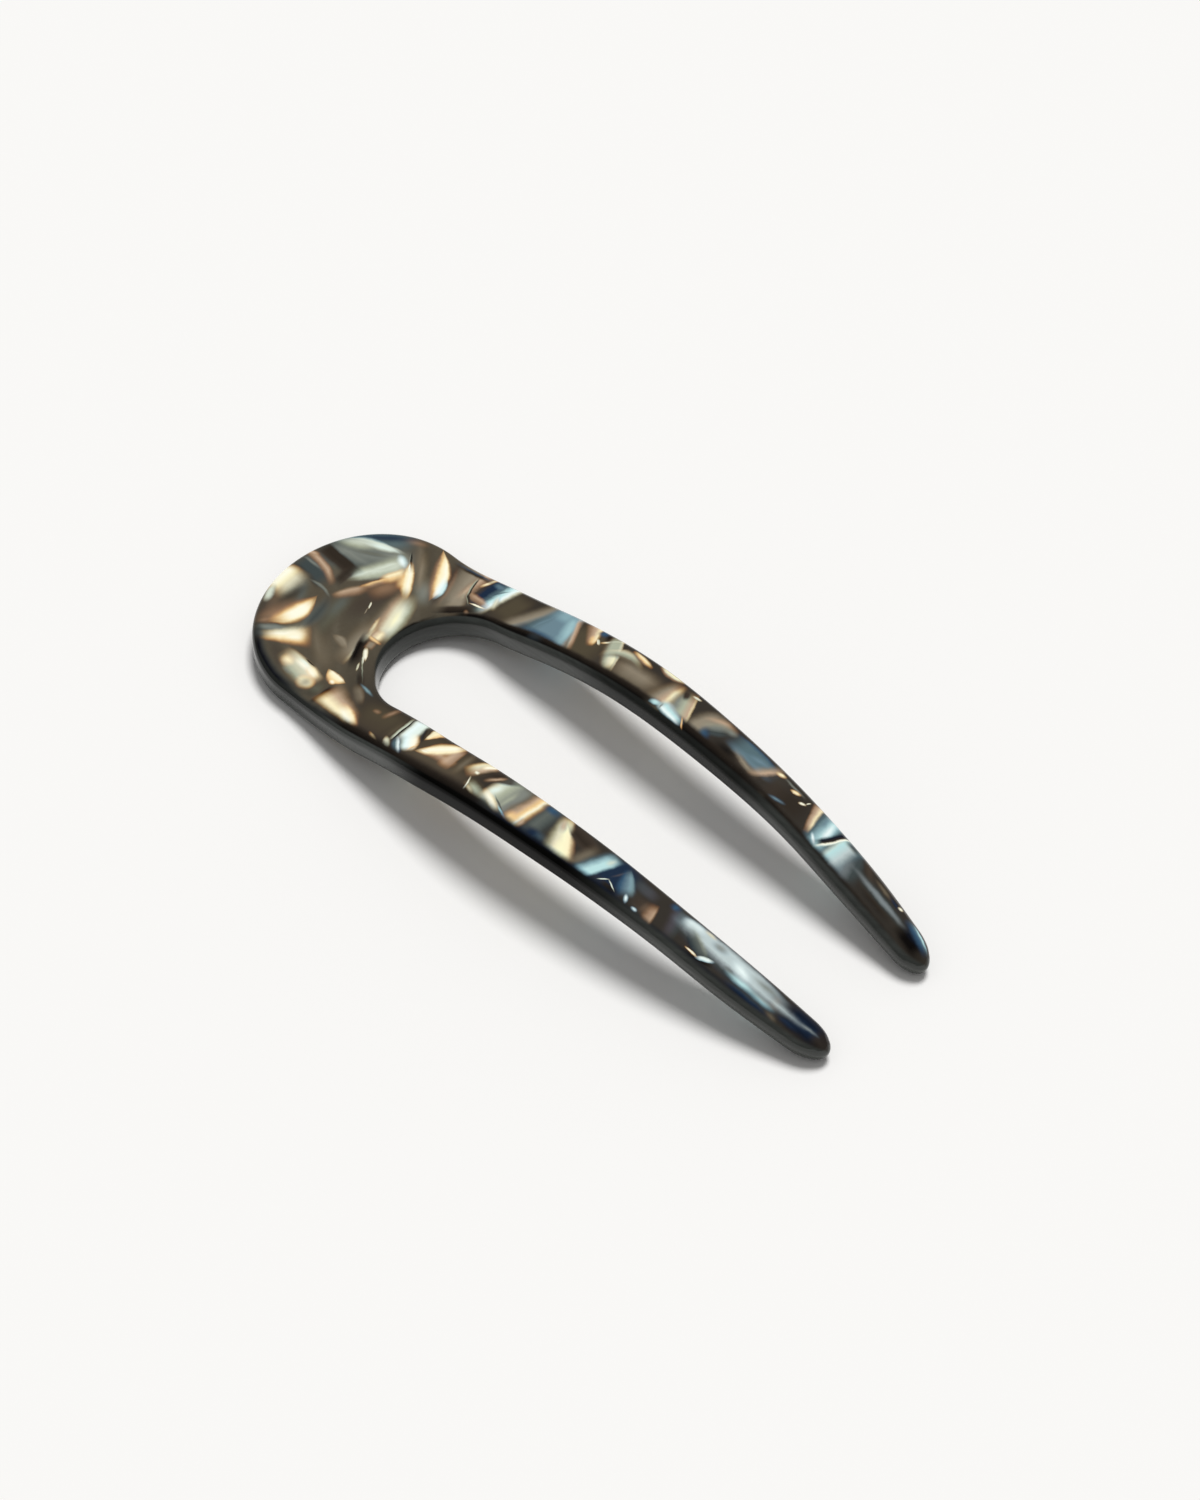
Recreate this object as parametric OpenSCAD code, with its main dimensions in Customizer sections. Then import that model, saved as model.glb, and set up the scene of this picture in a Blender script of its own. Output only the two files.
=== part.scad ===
// French hair pin: one flat sheet of acetate cut to a U, arched over its length and polished round.
// The round end of the U is the head, and its two legs are the prongs.
// Millimetres. X runs from the head to the tips, Y across the prongs, Z up from the table it lies on.

/* [Whole pin] */
// Length over all, from the back of the head to the tips
pin_length = 115; // [100:1:130]
// Thickness of the sheet that the pin is cut from
thickness = 4; // [3.6:0.1:4.6]
// Height by which the middle of the pin is arched above its head
arch_rise = 8.2; // [0:0.2:12]

/* [Head] */
// Width across the shoulders of the head
head_width = 35.4; // [33:0.2:38]
// Depth of the rounded back of the head, from its back to the shoulders
head_round = 15.7; // [12:0.1:19]
// Depth of solid sheet between the back of the head and the gap
bridge_depth = 22; // [18:0.5:26]

/* [Prongs] */
// Distance between the middles of the prongs, where they stand widest apart
prong_spread = 29.5; // [27:0.5:32]
// Distance between the middles of the prongs at their tips
tip_spread = 20; // [16:0.5:24]
// Width of a prong at its root, where it leaves the head
prong_width = 8.5; // [7:0.1:10]
// Length over which a prong's end is rounded off, seen from above
tip_length = 4.3; // [3:0.1:8]
// Length over which a prong's end is rounded off, seen from the side
tip_nose = 2.2; // [1.5:0.1:3]

/* [Edges] */
// Radius of the polished edges of the head
edge_radius = 1.2; // [0.4:0.1:1.7]
// Radius of the polished edges of the prongs, towards their tips
tip_edge_radius = 1.8; // [0.6:0.1:2]

/* [Hidden] */

// The prongs, seen from above.
// along: share of a prong's length, from the gap's round end to the tip
// apart: share of the way from tip_spread to prong_spread
// wide: share of prong_width
prong_table = [
    // along, apart, wide
    [0.00, 0.91, 1.00],
    [0.17, 1.00, 0.94],
    [0.33, 0.97, 0.90],
    [0.50, 0.84, 0.84],
    [0.67, 0.66, 0.78],
    [0.83, 0.39, 0.76],
    [1.00, 0.00, 0.57],
];

// The arch of the pin, seen from the side.
// along: share of the pin's length
// lift: share of arch_rise
arch_table = [
    // along, lift
    [0.00, 0.09],
    [0.08, 0.05],
    [0.16, 0.00],
    [0.25, 0.21],
    [0.36, 0.62],
    [0.48, 0.94],
    [0.60, 1.00],
    [0.74, 0.84],
    [0.88, 0.39],
    [1.00, -0.08],
];

// The tables' columns
along = 0;
apart = 1;
wide = 2;
lift = 1;

// Places along the pin where the edge radius starts and ends its change, as shares of its length
soften_start = 0.55;
soften_end = 0.90;

// Sections round half of the head, over a shoulder, down a prong and round a tip
head_steps = 14;
shoulder_steps = 7;
prong_steps = 30;
tip_steps = 9;
// Points round one polished edge, and steps across the flat face of a section
edge_steps = 4;
face_steps = 4;
// Most that a polished edge takes of its wall
edge_limit = 0.499;
// Half of the length over which the arch's slope is measured
slope_reach = 0.05;

function clamp_to(low, high, value) = max(low, min(high, value));
function ease(share) = let (u = clamp_to(0, 1, share)) u * u * (3 - 2 * u);

// Slope of a column at one row, level at the table's first row
function steepness(rows, column, i) =
    let (rise = function(a, b) (rows[b][column] - rows[a][column]) / (rows[b][along] - rows[a][along]))
    i == 0 ? 0
    : i == len(rows) - 1 ? rise(i - 1, i)
    : let (before = rows[i][along] - rows[i - 1][along])
      let (after = rows[i + 1][along] - rows[i][along])
      (rise(i - 1, i) * after + rise(i, i + 1) * before) / (before + after);

// Value of a column at any place, on a smooth curve through the rows
function curve(rows, column, place) =
    let (x = clamp_to(rows[0][along], rows[len(rows) - 1][along], place))
    let (i = max([for (k = [0:len(rows) - 2]) if (rows[k][along] <= x) k]))
    let (span = rows[i + 1][along] - rows[i][along])
    let (u = (x - rows[i][along]) / span)
    (2 * u ^ 3 - 3 * u ^ 2 + 1) * rows[i][column]
    + (u ^ 3 - 2 * u ^ 2 + u) * span * steepness(rows, column, i)
    + (3 * u ^ 2 - 2 * u ^ 3) * rows[i + 1][column]
    + (u ^ 3 - u ^ 2) * span * steepness(rows, column, i + 1);

// Middle of a prong and its width, from a row's shares
function middle_at(share) = (tip_spread + (prong_spread - tip_spread) * share) / 2;

// The gap's round end is an arc that meets both prongs
gap_radius = middle_at(prong_table[0][apart]) - prong_width * prong_table[0][wide] / 2;
gap_centre = bridge_depth + gap_radius;
root_edge = gap_radius + prong_width * prong_table[0][wide];

// The same tables in millimetres from the back of the head
prong_length = pin_length - gap_centre;
prong_rows = [
    for (row = prong_table)
        [gap_centre + row[along] * prong_length, middle_at(row[apart]), row[wide] * prong_width]
];
arch_rows = [for (row = arch_table) [row[along] * pin_length, row[lift] * arch_rise]];

// Height of the sheet's middle above that of the head, and the arch's slope
function height(x) = curve(arch_rows, lift, x);
function slope(x) = (height(x + slope_reach) - height(x - slope_reach)) / (2 * slope_reach);

// Each station is a pair of points, on the outer edge and on the gap's edge
function facing(outer) =
    let (turn = atan2(outer.y, gap_centre - outer.x))
    [outer, [gap_centre - gap_radius * cos(turn), gap_radius * sin(turn)]];

head_stations = [
    for (i = [0:head_steps])
        let (turn = 90 * i / head_steps)
        facing([head_round * (1 - cos(turn)), head_width / 2 * sin(turn)])
];
shoulder_stations = [
    for (i = [1:shoulder_steps - 1])
        let (u = i / shoulder_steps)
        facing([
            head_round + (gap_centre - head_round) * u,
            head_width / 2 + (root_edge - head_width / 2) * ease(u)
        ])
];
tip_start = pin_length - tip_length;
prong_places = concat(
    [for (i = [0:prong_steps - 1]) gap_centre + (tip_start - gap_centre) * i / prong_steps],
    [for (i = [0:tip_steps - 1]) tip_start + tip_length * sin(90 * i / tip_steps)]
);
prong_stations = [
    for (x = prong_places)
        let (end = max(0, (x - tip_start) / tip_length))
        let (half = curve(prong_rows, wide, x) / 2 * sqrt(1 - end ^ 2))
        let (middle = curve(prong_rows, apart, x))
        [[x, middle + half], [x, middle - half]]
];
half_stations = concat(head_stations, shoulder_stations, prong_stations);
last_station = len(half_stations) - 1;

// Stations from the tip on the right, round the head, to the tip on the left
function mirrored(station) = [for (p = station) [p.x, -p.y]];
stations = [
    for (k = [-last_station:last_station])
        k < 0 ? mirrored(half_stations[-k]) : half_stations[k]
];

// A section is a flat bar with round edges, as pairs of a distance from the outer edge and a height
function section(width, deep, radius) =
    let (corner = function(across, up, start)
        [
            for (i = [0:edge_steps])
                let (turn = start - 90 * i / edge_steps)
                [across + radius * cos(turn), up + radius * sin(turn)]
        ])
    let (face = function(up, from, to)
        [for (i = [1:face_steps - 1]) [from + (to - from) * i / face_steps, up]])
    concat(
        corner(width - radius, deep / 2 - radius, 90),
        corner(width - radius, radius - deep / 2, 0),
        face(-deep / 2, width - radius, radius),
        corner(radius, radius - deep / 2, -90),
        corner(radius, deep / 2 - radius, 180),
        face(deep / 2, radius, width - radius)
    );

// A section's points stand square to the arch
function on_arch(point, up) =
    let (grade = slope(point.x))
    let (stretch = sqrt(1 + grade ^ 2))
    [point.x - up * grade / stretch, point.y, height(point.x) + up / stretch];

function ring(station) =
    let (outer = station[0])
    let (across = station[1] - outer)
    let (width = norm(across))
    let (past = max(0, (outer.x - pin_length + tip_nose) / tip_nose))
    let (deep = thickness * sqrt(1 - past ^ 2))
    let (soft = ease((outer.x / pin_length - soften_start) / (soften_end - soften_start)))
    let (wanted = edge_radius + (tip_edge_radius - edge_radius) * soft)
    let (radius = min(wanted, edge_limit * width, edge_limit * deep))
    [for (p = section(width, deep, radius)) on_arch(outer + across / width * p[0], p[1])];

rings = [for (station = stations) ring(station)];
tips = [for (side = [-1, 1]) [pin_length, side * tip_spread / 2, height(pin_length)]];

// The pin is centred over its own length and stands on its lowest points
skin_points = [for (r = rings) each r];
back_end = min([for (p = skin_points) p.x]);
front_end = max([for (p = skin_points) p.x]);
floor_level = min([for (p = skin_points) p.z]);

// One closed skin: the rings in turn, with a single point at each tip
module hair_pin() {
    around = len(rings[0]);
    count = len(rings);
    points = concat([tips[0]], skin_points, [tips[1]]);
    last = len(points) - 1;
    start_cap = [for (i = [0:around - 1]) [0, 1 + i, 1 + (i + 1) % around]];
    end_cap = [
        for (i = [0:around - 1])
            [last, 1 + (count - 1) * around + (i + 1) % around, 1 + (count - 1) * around + i]
    ];
    skin = [
        for (k = [0:count - 2])
            for (i = [0:around - 1])
                let (j = (i + 1) % around)
                let (here = 1 + k * around)
                let (next = here + around)
                each [[here + i, next + i, next + j], [here + i, next + j, here + j]]
    ];
    color([0.24, 0.21, 0.18])
        translate([-(back_end + front_end) / 2, 0, -floor_level])
            polyhedron(points = points, faces = concat(start_cap, skin, end_cap), convexity = 6);
}

hair_pin();
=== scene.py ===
"""Looks of an arched french hair pin, cut from one sheet of marbled pearl acetate.

The pin's skin is drawn again from the sizes of the part, with finer steps, and stands for the CAD solid.
Its finish is a chart of pearl folds that was placed in millimetres seen from above, over a dark olive
ground. X runs from the head to the tips, and the left prong is the one at positive Y.
"""

import logging
import math
from dataclasses import dataclass
from enum import Enum, IntEnum
from typing import Any, Optional, Sequence, Union

import bpy
import numpy as np
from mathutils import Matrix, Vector

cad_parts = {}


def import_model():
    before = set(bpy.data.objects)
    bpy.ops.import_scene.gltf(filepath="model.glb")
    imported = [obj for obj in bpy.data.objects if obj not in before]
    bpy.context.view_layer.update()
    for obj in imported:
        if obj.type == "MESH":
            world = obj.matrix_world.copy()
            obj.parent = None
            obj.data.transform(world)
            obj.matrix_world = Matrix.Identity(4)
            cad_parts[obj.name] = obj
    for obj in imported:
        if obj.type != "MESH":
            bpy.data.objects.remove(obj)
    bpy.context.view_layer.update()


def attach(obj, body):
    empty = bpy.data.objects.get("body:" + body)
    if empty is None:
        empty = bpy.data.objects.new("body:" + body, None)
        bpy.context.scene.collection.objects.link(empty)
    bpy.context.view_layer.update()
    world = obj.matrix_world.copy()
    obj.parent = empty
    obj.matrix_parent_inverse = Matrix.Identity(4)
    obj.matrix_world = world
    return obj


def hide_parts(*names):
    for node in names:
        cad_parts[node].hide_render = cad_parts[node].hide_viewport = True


MILLIMETRE = 0.001
INSET = "distance_from_outline"

# A colour as its red, green and blue from 0 to 255, as seen on a screen
Shade = tuple[int, int, int]
# Where a smooth step from 0 to 1 starts and where it ends. The start may be the greater.
Step = tuple[float, float]

log = logging.getLogger("hair_pin")


def linear(red: float, green: float, blue: float) -> tuple[float, float, float, float]:
    """Turn a colour as seen on a screen into light.

    Args:
        red: red from 0 to 255.
        green: green from 0 to 255.
        blue: blue from 0 to 255.

    Returns:
        The colour as linear light, with full alpha.
    """
    parts = [max(0.0, c / 255.0) for c in (red, green, blue)]
    light = [c / 12.92 if c <= 0.04045 else ((c + 0.055) / 1.055) ** 2.4 for c in parts]
    return (light[0], light[1], light[2], 1.0)


def ease(share: np.ndarray) -> np.ndarray:
    """Smooth step from 0 to 1 of a share."""
    u = np.clip(share, 0.0, 1.0)
    return u * u * (3.0 - 2.0 * u)


class Curve:
    """A smooth curve through a few rows, level at its first row."""

    def __init__(self, places: Sequence[float], values: Sequence[float]) -> None:
        """Keep the rows and work out their slopes.

        Args:
            places: where the rows stand, in rising order.
            values: the curve's value at each row.
        """
        self.places = np.array(places, float)
        self.values = np.array(values, float)
        spans = np.diff(self.places)
        rises = np.diff(self.values) / spans
        inner = (rises[:-1] * spans[1:] + rises[1:] * spans[:-1]) / (spans[:-1] + spans[1:])
        self.slopes = np.concatenate([[0.0], inner, [rises[-1]]])

    def at(self, place: np.ndarray) -> np.ndarray:
        """Value of the curve at any places.

        Args:
            place: places along the curve.

        Returns:
            The values there.
        """
        x = np.clip(place, self.places[0], self.places[-1])
        i = np.clip(np.searchsorted(self.places, x, side="right") - 1, 0, len(self.places) - 2)
        span = self.places[i + 1] - self.places[i]
        u = (x - self.places[i]) / span
        return (
            (2 * u**3 - 3 * u**2 + 1) * self.values[i]
            + (u**3 - 2 * u**2 + u) * span * self.slopes[i]
            + (3 * u**2 - 2 * u**3) * self.values[i + 1]
            + (u**3 - u**2) * span * self.slopes[i + 1]
        )


@dataclass
class PinBlank:
    """The pin's skin: a bar with round edges, swept from one tip round the head to the other.

    Lengths are in millimetres and the same as in the part's source. The prong_ and arch_ tuples
    are the columns of its two tables and hold shares. prong_along goes from the gap's round end
    to the tips, prong_apart from tip_spread to prong_spread, and arch_along from the back of the
    head to the tips. prong_wide is a share of prong_width, and arch_lift one of arch_rise. The
    values of prong_apart, prong_wide and arch_lift are those of a fit to the pin's outline,
    rounded to 0.01.
    """

    pin_length: float = 115.0
    thickness: float = 4.0
    arch_rise: float = 8.2
    head_width: float = 35.4
    head_round: float = 15.7
    bridge_depth: float = 22.0
    prong_spread: float = 29.5
    tip_spread: float = 20.0
    prong_width: float = 8.5
    tip_length: float = 4.3
    tip_nose: float = 2.2
    edge_radius: float = 1.2
    tip_edge_radius: float = 1.8
    prong_along: tuple[float, ...] = (0.00, 0.17, 0.33, 0.50, 0.67, 0.83, 1.00)
    prong_apart: tuple[float, ...] = (0.91, 1.00, 0.97, 0.84, 0.66, 0.39, 0.00)
    prong_wide: tuple[float, ...] = (1.00, 0.94, 0.90, 0.84, 0.78, 0.76, 0.57)
    arch_along: tuple[float, ...] = (0.00, 0.08, 0.16, 0.25, 0.36, 0.48, 0.60, 0.74, 0.88, 1.00)
    arch_lift: tuple[float, ...] = (0.09, 0.05, 0.00, 0.21, 0.62, 0.94, 1.00, 0.84, 0.39, -0.08)
    soften_start: float = 0.55
    soften_end: float = 0.90
    head_steps: int = 44
    shoulder_steps: int = 20
    prong_steps: int = 110
    tip_steps: int = 18
    edge_steps: int = 9
    face_steps: int = 14
    edge_limit: float = 0.499
    slope_reach: float = 0.05

    def __post_init__(self) -> None:
        """Work out the gap's round end and the curves of the prongs and the arch."""
        root_middle = self.middle_at(self.prong_apart[0])
        root_width = self.prong_width * self.prong_wide[0]
        self.gap_radius = root_middle - root_width / 2
        self.gap_centre = self.bridge_depth + self.gap_radius
        self.root_edge = self.gap_radius + root_width
        prong_length = self.pin_length - self.gap_centre
        places = [self.gap_centre + share * prong_length for share in self.prong_along]
        self.middles = Curve(places, [self.middle_at(share) for share in self.prong_apart])
        self.widths = Curve(places, [share * self.prong_width for share in self.prong_wide])
        self.arch = Curve(
            [share * self.pin_length for share in self.arch_along],
            [share * self.arch_rise for share in self.arch_lift],
        )

    def middle_at(self, share: float) -> float:
        """Distance of a prong's middle from the pin's middle line."""
        return (self.tip_spread + (self.prong_spread - self.tip_spread) * share) / 2

    def slope(self, x: np.ndarray) -> np.ndarray:
        """Slope of the arch at places along the pin."""
        reach = self.slope_reach
        return (self.arch.at(x + reach) - self.arch.at(x - reach)) / (2 * reach)

    def facing(self, outer: np.ndarray) -> np.ndarray:
        """Points on the gap's arc that face points on the outer edge.

        Args:
            outer: points on the outer edge, one row each.

        Returns:
            The facing points, one row each.
        """
        turn = np.arctan2(outer[:, 1], self.gap_centre - outer[:, 0])
        x = self.gap_centre - self.gap_radius * np.cos(turn)
        return np.stack([x, self.gap_radius * np.sin(turn)], axis=1)

    def half_stations(self) -> tuple[np.ndarray, np.ndarray]:
        """Stations from the back of the head to the left tip.

        Returns:
            The points on the outer edge, and the points on the gap's edge.
        """
        turn = np.linspace(0.0, math.pi / 2, self.head_steps + 1)
        back = self.head_round * (1 - np.cos(turn))
        head = np.stack([back, self.head_width / 2 * np.sin(turn)], axis=1)
        u = np.arange(1, self.shoulder_steps) / self.shoulder_steps
        drop = (self.root_edge - self.head_width / 2) * ease(u)
        x = self.head_round + (self.gap_centre - self.head_round) * u
        shoulder = np.stack([x, self.head_width / 2 + drop], axis=1)
        broad = np.concatenate([head, shoulder])

        tip_start = self.pin_length - self.tip_length
        straight = np.linspace(self.gap_centre, tip_start, self.prong_steps, endpoint=False)
        quarter = np.linspace(0.0, math.pi / 2, self.tip_steps, endpoint=False)
        x = np.concatenate([straight, tip_start + self.tip_length * np.sin(quarter)])
        end = np.clip((x - tip_start) / self.tip_length, 0.0, 1.0)
        half = self.widths.at(x) / 2 * np.sqrt(1 - end**2)
        middle = self.middles.at(x)
        outer = np.concatenate([broad, np.stack([x, middle + half], axis=1)])
        inner = np.concatenate([self.facing(broad), np.stack([x, middle - half], axis=1)])
        return outer, inner

    def section(self, width: float, deep: float, radius: float) -> np.ndarray:
        """A bar with round edges.

        Args:
            width: distance between the two edges.
            deep: thickness of the bar.
            radius: radius of its round edges.

        Returns:
            Rows of a distance from the outer edge and a height.
        """
        quarter = np.linspace(0.0, math.pi / 2, self.edge_steps + 1)
        share = np.arange(1, self.face_steps) / self.face_steps
        far, near = width - radius, radius
        up, down = deep / 2 - radius, radius - deep / 2

        def corner(across: float, rise: float, start: float) -> np.ndarray:
            """Points round one edge."""
            turn = start - quarter
            return np.stack([across + radius * np.cos(turn), rise + radius * np.sin(turn)], axis=1)

        def face(height: float, start: float, stop: float) -> np.ndarray:
            """Points across one flat face."""
            return np.stack([start + (stop - start) * share, np.full(len(share), height)], axis=1)

        return np.concatenate(
            [
                corner(far, up, math.pi / 2),
                corner(far, down, 0.0),
                face(-deep / 2, far, near),
                corner(near, down, -math.pi / 2),
                corner(near, up, math.pi),
                face(deep / 2, near, far),
            ]
        )

    def ring(self, outer: np.ndarray, inner: np.ndarray) -> np.ndarray:
        """One section's points, set square to the arch.

        Args:
            outer: the station's point on the outer edge.
            inner: the station's point on the gap's edge.

        Returns:
            Points round the section, one row each: X, Y, Z and the distance from the outline.
        """
        width = float(np.linalg.norm(inner - outer))
        past = max(0.0, (outer[0] - self.pin_length + self.tip_nose) / self.tip_nose)
        deep = self.thickness * math.sqrt(1 - past**2)
        change = (outer[0] / self.pin_length - self.soften_start) / (self.soften_end - self.soften_start)
        soft = float(ease(np.array(change)))
        wanted = self.edge_radius + (self.tip_edge_radius - self.edge_radius) * soft
        radius = min(wanted, self.edge_limit * width, self.edge_limit * deep)
        bar = self.section(width, deep, radius)
        flat = outer + np.outer(bar[:, 0], (inner - outer) / width)
        grade = self.slope(flat[:, 0])
        stretch = np.sqrt(1 + grade**2)
        x = flat[:, 0] - bar[:, 1] * grade / stretch
        z = self.arch.at(flat[:, 0]) + bar[:, 1] / stretch
        inset = np.minimum(bar[:, 0], width - bar[:, 0])
        return np.stack([x, flat[:, 1], z, inset], axis=1)

    def points_and_faces(self) -> tuple[np.ndarray, list[list[int]]]:
        """The closed skin, centred over its length and standing on its lowest points.

        Returns:
            The points in millimetres, each with its distance from the outline, and the faces
            as lists of point numbers.
        """
        outer, inner = self.half_stations()
        flip = np.array([1.0, -1.0])
        outer = np.concatenate([outer[:0:-1] * flip, outer])
        inner = np.concatenate([inner[:0:-1] * flip, inner])
        rings = np.stack([self.ring(o, i) for o, i in zip(outer, inner)])
        count, around = rings.shape[:2]
        tip_height = float(self.arch.at(np.array(self.pin_length)))
        tips = [[self.pin_length, side * self.tip_spread / 2, tip_height, 0.0] for side in (-1, 1)]
        points = np.concatenate([tips[:1], rings.reshape(-1, 4), tips[1:]])
        low, high = points.min(axis=0), points.max(axis=0)
        points -= [(low[0] + high[0]) / 2, 0.0, low[2], 0.0]

        last = len(points) - 1
        last_ring = 1 + (count - 1) * around
        faces = [[0, 1 + i, 1 + (i + 1) % around] for i in range(around)]
        faces += [[last, last_ring + (i + 1) % around, last_ring + i] for i in range(around)]
        for k in range(count - 1):
            here = 1 + k * around
            there = here + around
            for i in range(around):
                j = (i + 1) % around
                faces.append([here + i, there + i, there + j, here + j])
        return points, faces

    def build(self, name: str) -> bpy.types.Object:
        """Make the skin as a mesh with smooth shading.

        Args:
            name: name of the new object.

        Returns:
            The new object, in metres.
        """
        points, faces = self.points_and_faces()
        mesh = bpy.data.meshes.new(name)
        mesh.from_pydata((points[:, :3] * MILLIMETRE).tolist(), [], faces)
        mesh.validate()
        mesh.attributes.new(INSET, "FLOAT", "POINT").data.foreach_set("value", points[:, 3])
        if signed_volume(mesh) < 0:
            mesh.flip_normals()
        mesh.polygons.foreach_set("use_smooth", [True] * len(mesh.polygons))
        mesh.update()
        pin = bpy.data.objects.new(name, mesh)
        bpy.context.scene.collection.objects.link(pin)
        return pin


def signed_volume(mesh: bpy.types.Mesh) -> float:
    """Volume inside a closed mesh, negative where its faces look inwards.

    Args:
        mesh: the closed mesh.

    Returns:
        The volume in cubic metres.
    """
    mesh.calc_loop_triangles()
    co = np.empty(len(mesh.vertices) * 3)
    mesh.vertices.foreach_get("co", co)
    corners = np.empty(len(mesh.loop_triangles) * 3, dtype=np.int32)
    mesh.loop_triangles.foreach_get("vertices", corners)
    a, b, c = co.reshape(-1, 3)[corners.reshape(-1, 3)].transpose(1, 0, 2)
    return float(np.einsum("ij,ij->i", a, np.cross(b, c)).sum() / 6)


Number = Union[float, "Value"]
Link = Union[float, Sequence[float], bpy.types.NodeSocket, "Value"]


class Value:
    """A socket that takes part in plain arithmetic."""

    def __init__(self, bench: "NodeBench", socket: bpy.types.NodeSocket) -> None:
        """Keep the socket and the bench that its nodes are made on."""
        self.bench = bench
        self.socket = socket

    def __add__(self, other: Number) -> "Value":
        """Sum."""
        return self.bench.math("ADD", self, other)

    __radd__ = __add__

    def __sub__(self, other: Number) -> "Value":
        """Difference."""
        return self.bench.math("SUBTRACT", self, other)

    def __rsub__(self, other: Number) -> "Value":
        """Difference, the other way round."""
        return self.bench.math("SUBTRACT", other, self)

    def __mul__(self, other: Number) -> "Value":
        """Product."""
        return self.bench.math("MULTIPLY", self, other)

    __rmul__ = __mul__

    def __truediv__(self, other: Number) -> "Value":
        """Quotient."""
        return self.bench.math("DIVIDE", self, other)

    def __rtruediv__(self, other: Number) -> "Value":
        """Quotient, the other way round."""
        return self.bench.math("DIVIDE", other, self)

    def __pow__(self, other: Number) -> "Value":
        """Power."""
        return self.bench.math("POWER", self, other)

    def __rpow__(self, other: Number) -> "Value":
        """Power, the other way round."""
        return self.bench.math("POWER", other, self)


class MixInput(IntEnum):
    """Places of the Mix node's inputs, since it has several of each name."""

    VECTOR_SHARES = 1
    VECTOR_BELOW = 4
    VECTOR_ABOVE = 5
    COLOUR_BELOW = 6
    COLOUR_ABOVE = 7


class MixOutput(IntEnum):
    """Places of the Mix node's outputs."""

    VECTOR = 1
    COLOUR = 2


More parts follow.
